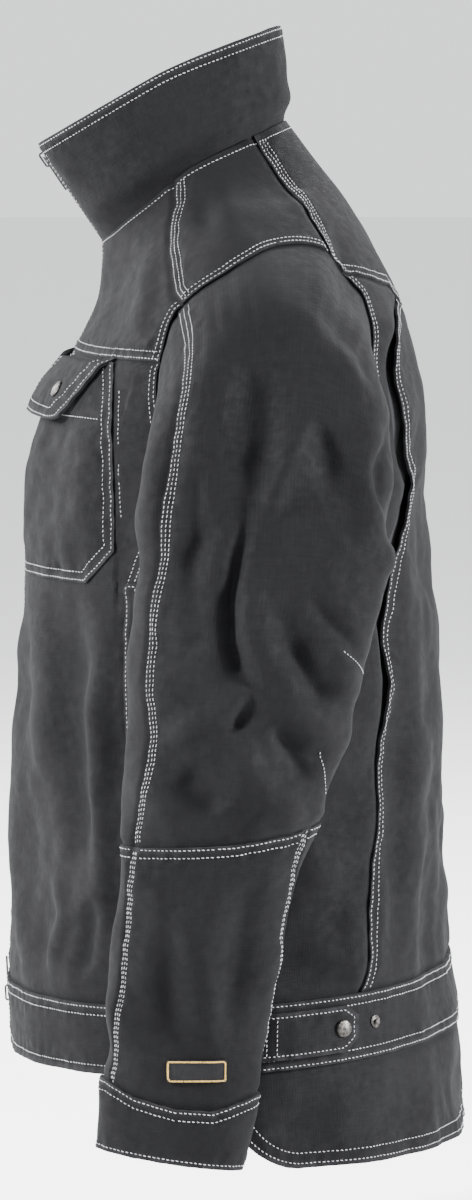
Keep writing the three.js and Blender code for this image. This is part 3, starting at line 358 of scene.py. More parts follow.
# ---------------------------------------------------------------- stitches
PITCH = 3.3
def contour(F, level, wrap):
    """Lines of constant F on a grid, as runs of (row, column)."""
    G = F - level
    nv, nu = G.shape
    if wrap: G = np.concatenate([G, G[:, :1]], 1)
    s = G >= 0
    mixed = (s[:-1, :-1] != s[1:, :-1]) | (s[:-1, :-1] != s[:-1, 1:]) | (s[1:, :-1] != s[1:, 1:])
    links = {}
    for j, i in zip(*np.nonzero(mixed)):
        pts = []
        for (a, b), (c, d) in (((j, i), (j, i + 1)), ((j, i + 1), (j + 1, i + 1)), ((j + 1, i + 1), (j + 1, i)), ((j + 1, i), (j, i))):
            if s[a, b] != s[c, d]:
                t = G[a, b] / (G[a, b] - G[c, d]); key = (min(a, c), min(b, d), int(b == d))
                pts.append((key, (a + (c - a) * t, b + (d - b) * t)))
        for k in range(0, len(pts) - 1, 2):
            (ka, pa), (kb, pb) = pts[k], pts[k + 1]
            links.setdefault(ka, []).append((kb, pb)); links.setdefault(kb, []).append((ka, pa))
            links.setdefault(("p", ka), pa); links.setdefault(("p", kb), pb)
    seen, runs = set(), []
    keys = [k for k in links if k[0] != "p"]
    for k in sorted([k for k in keys if len(links[k]) == 1]) + sorted(k for k in keys if len(links[k]) != 1):
        if k in seen: continue
        run = [k]; seen.add(k)
        while True:
            nxt = [x for x, _ in links[run[-1]] if x not in seen]
            if not nxt: break
            seen.add(nxt[0]); run.append(nxt[0])
        if len(run) > 3: runs.append(np.array([links[("p", x)] for x in run]))
    return runs
def sample(A, ji, wrap):
    nv, nu = A.shape[:2]
    j, i = np.clip(ji[:, 0], 0, nv - 1.0001), ji[:, 1]
    j0 = np.floor(j).astype(int); fj = (j - j0)
    if wrap: i0 = np.floor(i).astype(int); fi = i - i0; i1 = (i0 + 1) % nu; i0 = i0 % nu
    else: i = np.clip(i, 0, nu - 1.0001); i0 = np.floor(i).astype(int); fi = i - i0; i1 = i0 + 1
    if A.ndim == 3: fj, fi = fj[:, None], fi[:, None]
    return (A[j0, i0] * (1 - fi) + A[j0, i1] * fi) * (1 - fj) + (A[j0 + 1, i0] * (1 - fi) + A[j0 + 1, i1] * fi) * fj
class Stitches:
    def __init__(s): s.c, s.t, s.n, s.len, s.wid = [], [], [], [], []
    def along(s, P, N, pitch=PITCH, length=2.5, width=.86, lift=.2):
        if len(P) < 2: return
        d = np.concatenate([[0], np.cumsum(np.linalg.norm(np.diff(P, axis=0), axis=1))])
        if d[-1] < pitch: return
        k = np.arange(pitch / 2, d[-1], pitch)
        at = np.stack([np.interp(k, d, P[:, x]) for x in range(3)], 1); nn = unit(np.stack([np.interp(k, d, N[:, x]) for x in range(3)], 1))
        e = .8; a = np.stack([np.interp(k - e, d, P[:, x]) for x in range(3)], 1); b = np.stack([np.interp(k + e, d, P[:, x]) for x in range(3)], 1)
        t = unit(b - a + 1e-9); bi = np.cross(t, nn); ang = math.radians(7) + R.normal(0, .05, len(k))
        s.c.append(at + nn * lift); s.t.append(unit(t * np.cos(ang)[:, None] + bi * np.sin(ang)[:, None])); s.n.append(nn)
        s.len.append(np.full(len(k), length) * R.uniform(.92, 1.06, len(k))); s.wid.append(np.full(len(k), width) * R.uniform(.9, 1.1, len(k)))
    def mesh(s, name, mat=None):
        if not s.c: return None
        c, t, n = np.concatenate(s.c), unit(np.concatenate(s.t)), np.concatenate(s.n); L, W = np.concatenate(s.len), np.concatenate(s.wid)
        b = unit(np.cross(t, n)); n = unit(np.cross(b, t)); k = len(c); V = []
        V.append(c - t * (L / 2)[:, None] - n * .45)
        for f, r, lift in ((-.27, .85, .1), (.27, .85, .1)):
            for a in range(6):
                an = a * pi / 3; V.append(c + t * (L * f)[:, None] + b * (W * .5 * r * math.cos(an))[:, None] + n * ((W * .36 * r * math.sin(an)) + lift)[:, None])
        V.append(c + t * (L / 2)[:, None] - n * .45)
        V = np.stack(V, 1); F = []
        for a in range(6):
            q = (a + 1) % 6; F += [(0, 1 + q, 1 + a), (1 + a, 1 + q, 7 + a), (1 + q, 7 + q, 7 + a), (13, 7 + a, 7 + q)]
        F = np.array(F); F = (F[None] + (np.arange(k) * 14)[:, None, None]).reshape(-1, 3)
        return new_mesh(name, V.reshape(-1, 3), F, mat or THREAD, None, None, 0)
ALL_ROWS = {}
def stitch(group, P, N, wrap, F, level, masks=(), **k):
    for run in contour(F, level, wrap):
        ok = np.ones(len(run), bool)
        for m in masks: ok &= sample(m, run, wrap) > 0
        cut = np.flatnonzero(np.diff(ok.astype(int)) != 0) + 1
        for part, good in zip(np.split(run, cut), np.split(ok, cut)):
            if len(part) > 2 and good[0]:
                ALL_ROWS.setdefault(group, Stitches()).along(sample(P, part, wrap), unit(sample(N, part, wrap)), **k)

# ---------------------------------------------------------------- the body grid and its seams
nu = 4 * (int(1290 / STEP) // 4)
ubody = np.arange(nu) / nu
vbody, LEN = even(body, .02, 14, STEP, (.1, .25, .4))
U, V = np.meshgrid(ubody, vbody)
B = Grid(body(U, V), True, -1, np.stack([(U - .25) * 1270, -np.interp(V, vbody, np.linspace(0, LEN, len(vbody)))], -1))
X, Y, Z = B.P[..., 0], B.P[..., 1], B.P[..., 2]
AX = np.abs(X)
tab = lambda t, x: np.interp(x, [r[0] for r in t], [r[1] for r in t])
SIDE_U = .245
def signed(raw, G, near=60):
    """Turns a field with the right sign and zero line into millimetres along the surface."""
    out = np.sign(raw) * 999.0
    wrap = G.wrap
    runs = contour(raw, 0, wrap)
    if not runs: return out
    for run in runs:
        p = sample(G.P, run, wrap); p = p[::2] if len(p) > 60 else p
        lo, hi = p.min(0) - near, p.max(0) + near
        m = (G.P > lo).all(-1) & (G.P < hi).all(-1)
        if m.any():
            d, _ = seg_dist(G.P[m], p, 8000); out[m] = np.where(np.abs(out[m]) < d, out[m], np.sign(raw[m]) * d)
    return out
def halves(raw, G=B):
    """The same on the left half, mirrored."""
    n = nu; sub = type("S", (), {})(); sub.P = G.P[:, :n // 2 + 1]; sub.wrap = False
    s = signed(raw[:, :n // 2 + 1], sub); out = np.empty_like(raw); out[:, :n // 2 + 1] = s; out[:, n // 2 + 1:] = s[:, 1:n // 2][:, ::-1]
    return out
F_YOKE = halves(Z + 168.5 + 0 * AX)
F_BYOKE = halves(Z - tab([[40,-100],[54,-106],[74,-120],[84,-136],[92,-153]], Y))
F_SHF = halves(Y - tab([[-134,-68],[-122,-78],[-92,-83],[-76,-83],[-60,-79],[-41,-80]], Z))
F_SHB = halves(Y - tab([[60,-22],[75,-10],[100,8],[120,19],[140,29],[160,41],[175,47],[200,49]], AX))
F_SIDE = halves(Y - tab([[-450,-108],[-330,-108],[-290,-90],[-260,-40]], Z))
F_PRIN = halves(tab([[-640,54],[-577,57],[-520,64],[-463,68],[-416,71],[-372,74],[-340,79],[-295,87],[-282,89],[-262,93],[-228,86],[-212,84],[-150,80]], Z) - Y)
arm_raw = np.hypot(Y - MID[0], Z - MID[1]) - arm_radius(np.arctan2(Y - MID[0], Z - MID[1])); arm_raw = np.where(AX < 120, 300, arm_raw)
F_ARM = halves(arm_raw)
F_NECK = (V - .06) * 30
F_FRONT = np.where(Y < -60, AX - 7.6, 300.0)
vlen = np.interp(V, vbody, np.linspace(0, LEN, len(vbody)))
v12, v13, v14 = [np.interp(x, vbody, np.linspace(0, LEN, len(vbody))) for x in (12, 13, 14)]
F_BAND, F_HEM = v12 - vlen, v13 - vlen           # positive above
Ul = np.minimum(U, 1 - U)
F_BSIDE = (SIDE_U - Ul) * 1300                  # positive in front
tail_side, tail_up = (Ul - SIDE_U) * 1150, 76 - (V - 13) * 76
F_TAIL = np.full_like(X, 999.0)
for a in (0, 9, 18, 27, 36, 45, 54, 63, 72, 81, 90):
    c, d = math.cos(math.radians(a)), math.sin(math.radians(a))
    F_TAIL = np.minimum(F_TAIL, tail_side * c + tail_up * d - 52 * (c + d - 1) - (1 if a == 0 else 0))
LEFT = np.where(U < .5, 1.0, -1.0)

# hardware keeps its place: the cloth stays on the base shape round it
def hard_mask(P, near=10, far=42):
    m = np.ones(P.shape[:-1])
    for n in HARD:
        a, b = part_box(n); c = (np.array(a) + np.array(b)) * 500 - MOVE
        m *= smooth(np.linalg.norm(P - c, axis=-1), near, far)
    return m
HARD = [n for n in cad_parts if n.startswith(("band_stud", "adjuster_snap", "pocket_snap", "flap_snap"))]
def body_shape(P):
    """Folds and unevenness of the worn cloth."""
    x, y, z = P[..., 0], P[..., 1], P[..., 2]; ax = np.abs(x)
    side = smooth(ax, 60, 150)
    D = np.zeros(x.shape)
    L, Rr = x >= 0, x < 0
    D[L] += (folds(P[L], BODY_FOLDS, False)) * side[L]
    D[Rr] += (folds(P[Rr], BODY_FOLDS, True)) * side[Rr]
    low = smooth(-z, 60, 240)
    n = N_BIG(P) * 2.8 + N_MID(P) * 1.3 + N_SMALL(P) * .28 + N_FOLD(P) * 1.5 * low
    D += n * (.35 + .65 * low)
    D -= 9.5 * np.exp(-((y - 66) / 20) ** 2) * smooth(ax, 120, 165) * smooth(-z, 128, 175) * (1 - smooth(-z, 290, 380))
    D -= 3 * np.exp(-((z + 300) / 60) ** 2) * smooth(ax, 170, 205)
    pocket = np.where((y < -70) & (ax > 20) & (ax < 190), smooth(-z, 140, 160) * (1 - smooth(-z, 325, 360)), 0)
    D *= 1 - .75 * pocket
    D *= np.where(y < -60, smooth(ax, 12, 48), 1)
    band = smooth(-z, 590, 625) * (1 - smooth(-z, 670, 700)); D *= 1 - .6 * band
    D *= .25 + .75 * smooth(-z, 20, 110)
    D = D * hard_mask(P)
    D = np.where(D < 0, 12 * np.tanh(D / 12), 9 * np.tanh(D / 9))
    return D + 7 * smooth(-z, 590, 655) * smooth(y, 78, 126)
DB = body_shape(B.P)
wear_noise = .5 + .5 * np.clip(N_MID(B.P * 1.3) * .7, -1, 1)
def lap(F):
    """How the lower cloth of a seam dips to pass below the upper one: F is positive on the upper side."""
    return -1.9 * smooth(F, -7, -.3)
def rows_dip(F, levels, P):
    d = np.zeros_like(F)
    for l in levels: d -= .42 * np.exp(-((F - l) / 1.5) ** 2)
    near = np.exp(-((F - np.mean(levels)) / 9) ** 2)
    return d + near * N_PUCK(P) * .33
def wear_of(Fs):
    w = np.zeros_like(Fs[0])
    for F in Fs: w = np.maximum(w, np.exp(-((F - 1.2) / 2.4) ** 2) * (F > -.5))
    return w * .55
PIECES = {}
def panel(name, G, D, keep, mat, thick=1.7, wear=None, body="root", cad=None, flat=None, held="stretched", extra=None):
    """keep: fields that are 0 or more on the piece."""
    P = G.P + G.N * D[..., None]
    if extra is not None: P = P + extra
    N = normals(P, G.wrap, G.sign)
    w = np.zeros(P.shape[:2]) if wear is None else wear
    A = np.concatenate([P.reshape(-1, 3), N.reshape(-1, 3), G.uv.reshape(-1, 2), w.reshape(-1, 1)] + [k.reshape(-1, 1) for k in keep] + [G.P.reshape(-1, 3)], 1)
    T = G.T
    for c in range(len(keep)): A, T = clip(A, T, 9 + c)
    A, T = weld(A, T)
    o = thick_mesh(name, A, T, thick, mat)
    x = A[:, -3:][T]; o["cut_area"] = float(np.linalg.norm(np.cross(x[:, 1] - x[:, 0], x[:, 2] - x[:, 0]), axis=1).sum() / 2e6); o["cut_length"] = float(np.ptp(A[:, 7]) * .001)
    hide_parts(*(cad or [name]))
    PIECES[name] = o; o["held"] = held
    if body == "root" or isinstance(body, str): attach(o, body)
    return P, N
one = np.ones_like(X)
left, right = np.where(U < .5, AX, -AX), np.where(U < .5, -AX, AX)
r2, r3 = (1.7, 7.2), (1.7, 5.1, 8.5)
def both(f):
    for side, tag in ((left, "left"), (right, "right")): f(side + .001, tag)

# front yoke, over the front panel, under the shoulder panel
def front_yoke(side, tag):
    D = DB + lap(F_SHF) + rows_dip(F_YOKE, r2, B.P) + lap(-F_NECK * 0 - 99)
    P, N = panel("front_yoke_" + tag, B, D, [side, F_YOKE, 6 - F_SHF, F_FRONT, F_ARM, -25 - Y, F_NECK], CANVAS, wear=wear_of([F_YOKE, F_FRONT]))
    for l in r2: stitch("root_front_" + tag, P, N, True, F_YOKE, l, [side, -F_SHF - 1, F_FRONT - 2, F_ARM - 2, -30 - Y])
    for l in (6.5, 12): stitch("root_front_" + tag, P, N, True, F_FRONT, l, [side, F_YOKE - 1, -F_SHF, -60 - Y, F_NECK - 3])
    stitch("root_front_" + tag, P, N, True, F_NECK, 4, [side, F_FRONT - 3, -F_SHF])
    for l in (2.0, 6.5): stitch("root_front_" + tag, P, N, True, F_ARM, l, [side, F_YOKE - 1, -F_SHF - 1])
both(front_yoke)
def shoulder(side, tag):
    D = DB + lap(F_SHB) + rows_dip(F_SHF, r3, B.P)
    P, N = panel("shoulder_panel_" + tag, B, D, [side, F_SHF, 6 - F_SHB, F_ARM, F_NECK, Z + 175, 60 - Y], CANVAS, wear=wear_of([F_SHF, F_ARM]))
    for l in r3: stitch("root_front_" + tag, P, N, True, F_SHF, l, [side, -F_SHB - 1, F_ARM - 2, F_NECK - 3, Z + 174])
    stitch("root_front_" + tag, P, N, True, F_NECK, 4, [side, F_SHF - 1, -F_SHB])
    for l in (2.0, 6.5): stitch("root_front_" + tag, P, N, True, F_ARM, l, [side, F_SHF - 1, -F_SHB - 1])
both(shoulder)
# back yoke, over the shoulder panels and the back
D = DB + rows_dip(F_SHB, r3, B.P) + rows_dip(F_BYOKE, r2, B.P)
P, N = panel("back_yoke", B, D, [F_BYOKE, F_SHB, F_ARM, F_NECK, Y + 60], CANVAS, wear=wear_of([F_SHB, F_BYOKE, F_ARM]))
for tag, side in (("left", left), ("right", right)):
    for l in r3: stitch("root_back", P, N, True, F_SHB, l, [side, F_BYOKE - 2, F_ARM - 2, F_NECK - 3, Y + 60])
    for l in r2: stitch("root_back", P, N, True, F_BYOKE, l, [side, F_SHB - 2, F_ARM - 2, Y])
    stitch("root_back", P, N, True, F_NECK, 4, [side, F_SHB - 1])
    for l in (2.0, 6.5): stitch("root_back", P, N, True, F_ARM, l, [side, F_SHB - 1, F_BYOKE - 1])
def front_panel(side, tag):
    D = DB + lap(F_YOKE) + rows_dip(F_FRONT, (6.5, 12), B.P) + rows_dip(-F_SIDE, r2, B.P) + lap(-F_BAND)
    P, N = panel("front_panel_" + tag, B, D, [side, 7 - F_YOKE, -F_SIDE, F_FRONT, F_ARM, F_BAND + 7, 5 - Y], CANVAS, wear=wear_of([F_FRONT, -F_SIDE]))
    for l in (6.5, 12): stitch("root_front_" + tag, P, N, True, F_FRONT, l, [side, -F_YOKE - 1, F_BAND - 1, -60 - Y])
    for l in r2: stitch("root_front_" + tag, P, N, True, -F_SIDE, l, [side, F_BAND - 1, F_ARM - 2, -F_YOKE - 1])
    for l in (2.0, 6.5): stitch("root_front_" + tag, P, N, True, F_ARM, l, [side, -F_YOKE - 1, -F_SIDE - 1])
both(front_panel)
def side_panel(side, tag):
    D = DB + lap(F_BYOKE) + lap(-F_SIDE) + lap(-F_PRIN) * 1.3 + lap(-F_BAND) - 6 * np.exp(-(F_PRIN / 12) ** 2) * smooth(-Z, 130, 170) * (1 - smooth(-Z, 380, 470))
    P, N = panel("side_panel_" + tag, B, D, [side, 6 - F_BYOKE, F_SIDE + 6, F_PRIN + 12, F_ARM, F_BAND + 7, Y + 115, Z - -9999 if False else one, AX - 60], CANVAS, wear=wear_of([F_ARM]))
    for l in (2.0, 6.5): stitch("root_front_" + tag, P, N, True, F_ARM, l, [side, F_SIDE - 1, F_PRIN - 1, -F_BYOKE - 1])
both(side_panel)
D = DB + lap(F_BYOKE) + rows_dip(-F_PRIN, r2, B.P) + lap(-F_BAND)
P, N = panel("back_panel", B, D, [7 - F_BYOKE, -F_PRIN, F_BAND + 7, Y - 15], CANVAS, wear=wear_of([-F_PRIN]))
for side in (left, right):
    for l in r2: stitch("root_back", P, N, True, -F_PRIN, l, [side, -F_BYOKE - 1, F_BAND - 1, Y - 15])

# waistband and tail
bandD = DB + .8
def band_front(side, tag):
    D = bandD + rows_dip(F_BAND * -1, (2, 7.5), B.P) + rows_dip(F_HEM, (6,), B.P) - 1.6 * smooth(-F_BSIDE, -8, 0)
    P, N = panel("waistband_front_" + tag, B, D, [side, -F_BAND, F_HEM, F_FRONT, F_BSIDE + 5], CANVAS, thick=2.6, wear=wear_of([-F_BAND, F_HEM, F_FRONT]))
    for l in (2, 7.5): stitch("root_front_" + tag, P, N, True, -F_BAND, l, [side, F_FRONT - 3, F_BSIDE - 1])
    stitch("root_front_" + tag, P, N, True, F_HEM, 6, [side, F_FRONT - 3, F_BSIDE - 1])
    stitch("root_front_" + tag, P, N, True, F_FRONT, 6.5, [side, -F_BAND - 8, F_HEM - 7])
both(band_front)
D = bandD + rows_dip(-F_BAND, (2, 7.5), B.P) + rows_dip(F_HEM, (2, 7.5), B.P)
P, N = panel("waistband_back", B, D, [-F_BAND, F_HEM, -F_BSIDE], CANVAS, thick=2.6, wear=wear_of([-F_BAND, F_HEM, -F_BSIDE]))
for side in (left, right):
    for l in (2, 7.5):
        stitch("root_back", P, N, True, -F_BAND, l, [side, -F_BSIDE - 2]); stitch("root_back", P, N, True, F_HEM, l, [side, -F_BSIDE - 2])
    for l in (2, 6): stitch("root_back", P, N, True, -F_BSIDE, l, [side, -F_BAND - 8, F_HEM - 8])
D = DB + lap(F_HEM) - 1.2 + rows_dip(F_TAIL, (3.5, 11), B.P) * (V > 13)
P, N = panel("back_tail", B, D, [F_TAIL, 8 - F_HEM], CANVAS, thick=2.0, wear=wear_of([F_TAIL]))
for l in (3.5, 11): stitch("root_back", P, N, True, F_TAIL, l, [-F_HEM - 1])

# linings: they follow the shell's shape further in
D = np.minimum(DB, 3) - 7.2 + N_MID(B.P + 400) * .8
hole = F_ARM - 9
panel("lining_front_left", B, D, [left + .001, hole, AX - 22 + (Y > -60) * 99, 19.5 - Y, V - .5, F_BAND - 3], LINING, thick=.8)
panel("lining_front_right", B, D, [right + .001, hole, AX - 22 + (Y > -60) * 99, 19.5 - Y, V - .5, F_BAND - 3], LINING, thick=.8)
panel("lining_back", B, D, [hole, Y - 20.5, V - .5, F_BAND - 3], LINING, thick=.8)

# ---------------------------------------------------------------- collar
nc = int(520 / 2.2); uc = np.arange(nc) / nc
vc, CL = even(collar, -.3, 3, 2.0, (.1, .3, .5)); UC, VC = np.meshgrid(uc, vc)
C = Grid(collar(UC, VC), True, 1, np.stack([(UC - .25) * 520, np.interp(VC, vc, np.linspace(0, CL, len(vc)))], -1))
cx, cy, cz = C.P[..., 0], C.P[..., 1], C.P[..., 2]
height = np.interp(VC, vc, np.linspace(0, CL, len(vc)))
height = height - np.interp(0, vc, np.linspace(0, CL, len(vc))); F_TOP = height.max() - height; F_CF = np.where(cy < -100, np.abs(cx) - 7.6, 300.0)
shapeC = (N_BIG(C.P) * 1.2 + N_MID(C.P) * .7 + N_SMALL(C.P) * .22) * smooth(np.minimum(height, F_CF * 1.2), 2, 30) * 1.0
round_top = -1.3 * np.exp(-F_TOP / 1.3)
D = shapeC + .5 + rows_dip(F_TOP, (2, 7.5), C.P) + 3.0 * np.exp(-((height - 15) / 9) ** 2) * smooth(F_CF, 2, 25) + round_top
PC, NC = panel("collar_outer", C, D, [F_CF], CANVAS, thick=2.1, wear=wear_of([F_TOP, F_CF]))
for l in (2, 7.5): stitch("root_collar", PC, NC, True, F_TOP, l, [F_CF - 1.5])
for l in (2, 7.5): stitch("root_collar", PC, NC, True, F_CF, l, [F_TOP - 8, height - 2])
D = shapeC - 2.3 + 1.1 * np.exp(-F_TOP / 1.3) * 0
panel("collar_facing", C, D, [F_CF], CANVAS_IN, thick=1.6)

# ---------------------------------------------------------------- sleeves
ns = int(470 / STEP); us = np.arange(ns) / ns
vs1 = np.linspace(0, 1, max(14, int(75 / STEP)))[:-1]
vs2, SL = even(lambda u, v: surf(SLEEVE, sleeve_pts, u, v - 1), 1, 12, STEP, (0, .25, .5, .75)); vs = np.concatenate([vs1, vs2])
SP, arm_u, arm_v = sleeve_grid(us, vs)
US, VS = np.meshgrid(us, vs)
arc = np.concatenate([[0], np.cumsum(np.linalg.norm(np.diff(SP, axis=0), axis=2).mean(1))])
SUV = np.stack([((US + .5) % 1) * 470, -np.repeat(arc[:, None], ns, 1)], -1)
S0 = Grid(SP, True, -1, SUV)
sy, sz = SP[..., 1], SP[..., 2]
fs = tab([[-715,.822],[-661,.822],[-611,.842],[-564,.835],[-504,.838],[-450,.862],[-400,.862],[-356,.852],[-280,.868],[-224,.88],[-138,.89]], sz)
ROLL = int(ns * .1)
def sleeve_fields(G):
    ws = (US - fs + .5) % 1 - .5           # 0 at the front seam
    wr = (US - .36 + .5) % 1 - .5          # 0 at the rear seam
    raw_f = np.where(np.abs(ws) < .25, ws * 480 + 5, np.sign(ws) * 120); raw_r = np.where(np.abs(wr) < .2, -wr * 480 - 5, -np.sign(wr) * 96)
    size = 480.0
    el = sz - tab([[-108,-501],[-35,-498],[5,-493],[25,-486]], sy); cu = sz - tab([[-124,-666],[-106,-676],[-78,-684],[-50,-686],[-22,-677]], sy)
    return raw_f, raw_r, el, cu
raw_f, raw_r, F_EL, F_CU = sleeve_fields(S0)
def outer_field(rear):
    """Distance to both long seams, positive on the outer piece. Its edges lie 5 mm outside the rows' middle."""
    df = ((US - fs + 5 / 480 + .5) % 1 - .5) * 480; dr = -((US - rear - 5 / 480 + .5) % 1 - .5) * 480
    is_out = ((US - fs + 5 / 480) % 1) < ((rear - fs + 10 / 480) % 1)
    m = np.minimum(np.abs(df), np.abs(dr)); return np.where(is_out, m, -m)
OUT_UP = outer_field(.36 + 0 * US)
OUT_LOW = outer_field(tab([[-690, .30], [-622, .262], [-565, .205], [-500, .175]], sz))
HEMS = arc[-1] - arc[:, None] + 0 * US
B_at = body(arm_u, arm_v); B_n = unit(np.cross(body(arm_u + 1e-3, arm_v) - body(arm_u - 1e-3, arm_v), body(arm_u, arm_v + 1e-3) - body(arm_u, arm_v - 1e-3))) * -1
def side_of(sign):
    """The mirrored grid of one sleeve. sign is 1 for the left one, -1 for the right one."""
    Pm = SP * np.array([sign, 1, 1]); G = Grid(Pm, True, -sign, SUV)
    return G
def sleeve_all(sign, tag):
    G = side_of(sign)
    t = smooth(VS, 0, 1)
    D = folds(G.P, SLEEVE_FOLDS, sign < 0) * smooth(np.cos(US * 2 * pi), -.6, .15)
    inner = smooth(-np.cos(US * 2 * pi), -.3, .5)
    D += N_BIG(G.P) * 1.7 + N_MID(G.P) * 1.25 + N_SMALL(G.P) * .26 + S_DIAG(G.P) * (.5 + 1.8 * inner)
    D -= 2.2 * np.exp(-((sz + 500) / 60) ** 2) * inner
    D *= .3 + .7 * smooth(HEMS, 8, 75)
    D = np.where(D > 0, 9 * np.tanh(D / 9), 12.5 * np.tanh(D / 12.5))
    for _ in range(2): D = (D + np.roll(D, 1, 1) + np.roll(D, -1, 1) + np.vstack([D[:1], D[:-1]]) + np.vstack([D[1:], D[-1:]])) / 5
    nb = B_n * np.array([sign, 1, 1])
    db = body_shape(B_at * np.array([sign, 1, 1]))
    extra = (nb * (db - 2.2)[:, None])[None] * (1 - smooth(VS, .1, 1.4))[..., None]
    ease = .4 * np.exp(-((VS - .45) / .35) ** 2) * np.sin(US * 2 * pi * 46) * smooth(np.cos(US * 2 * pi), -.2, .3)
    D = D * smooth(VS, .05, 1.3) + ease
    el = rows_dip(-F_EL, r2, G.P)
    up, low = D + rows_dip(OUT_UP, r3, G.P) * (OUT_UP > -2) + lap(-F_EL), D + rows_dip(OUT_LOW, r3, G.P) * (OUT_LOW > -2) + el + lap(-F_CU)
    bl = ("sleeve_upper_outer", "sleeve_upper_under")
    def do(nm, keep, DD, th=1.7, we=None):
        return panel(nm + "_" + tag, G, DD, keep, CANVAS, thick=th, wear=we, body=None if nm in bl else "sleeve_" + tag, extra=extra)
    grp_u, grp_l = "blend_" + tag, "sleeve_" + tag
    P, N = do("sleeve_upper_outer", [OUT_UP, F_EL + 6], up, we=wear_of([OUT_UP]))
    for l in r3: stitch(grp_u, P, N, True, OUT_UP, l, [F_EL - 1, (VS - .05)])
    do("sleeve_upper_under", [5 - OUT_UP, F_EL + 6], up + lap(OUT_UP), we=0 * US)
    P, N = do("forearm_outer", [OUT_LOW, -F_EL, F_CU + 6], low, we=wear_of([OUT_LOW, -F_EL]))
    for l in r3: stitch(grp_l, P, N, True, OUT_LOW, l, [-F_EL - 1, F_CU - 1])
    for l in r2: stitch(grp_l, P, N, True, -F_EL, l, [OUT_LOW - 10])
    P, N = do("forearm_under", [5 - OUT_LOW, -F_EL, F_CU + 6], low + lap(OUT_LOW), we=wear_of([-F_EL]))
    for l in r2: stitch(grp_l, P, N, True, -F_EL, l, [-OUT_LOW - 2])
    Dc = D + .8 + rows_dip(-F_CU, (2, 7.5), G.P) + rows_dip(HEMS, (3,), G.P)
    P, N = do("cuff", [-F_CU], Dc, 2.6, wear_of([-F_CU, HEMS]))
    for l in (2, 7.5): stitch(grp_l, P, N, True, -F_CU, l)
    stitch(grp_l, P, N, True, HEMS, 3)
    # elbow darts
    PP = G.P + G.N * D[..., None] + extra; NN = normals(PP, True, G.sign)
    for (ua, va), (ub, vb) in (((.135, 4.80), (.225, 5.22)), ((.145, 6.22), (.225, 6.85))):
        k = np.linspace(0, 1, 14); vv = va + (vb - va) * k; ji = np.stack([np.interp(vv, vs, np.arange(len(vs))), (ua + (ub - ua) * k ** 1.2) * ns], 1)
        ALL_ROWS.setdefault(grp_u, Stitches()).along(sample(PP, ji, True), unit(sample(NN, ji, True)))
    return G, low, extra
for sign, tag in ((1, "left"), (-1, "right")):
    res = sleeve_all(sign, tag)
    if sign == 1: LG, LD, LE = res

# ---------------------------------------------------------------- patches that lie on the body: pockets, flaps, welts, tabs
def patch(u0, u1, v0, v1, step=1.6, mirror=1):
    a = body(np.linspace(u0, u1, 40), (v0 + v1) / 2); b = body((u0 + u1) / 2, np.linspace(v0, v1, 40))
    n = int(np.linalg.norm(np.diff(a, axis=0), axis=1).sum() / step); m = int(np.linalg.norm(np.diff(b, axis=0), axis=1).sum() / step)
    u, v = np.meshgrid(np.linspace(u0, u1, n), np.linspace(v0, v1, m)); P = body(u, v) * np.array([mirror, 1, 1])
    arc_u = (u - .25) * 1270 * mirror; arc_v = -np.interp(v, vbody, np.linspace(0, LEN, len(vbody)))
    g = Grid(P, False, -1 * mirror, np.stack([arc_u, arc_v], -1)); g.u, g.v = u, v
    return g
def corner(a, b, r):
    """Distance inside the rounded corner of two edges at distances a and b."""
    out = np.minimum(a, b)
    c = (a < r) & (b < r)
    return np.where(c, r - np.hypot(r - a, r - b), out)
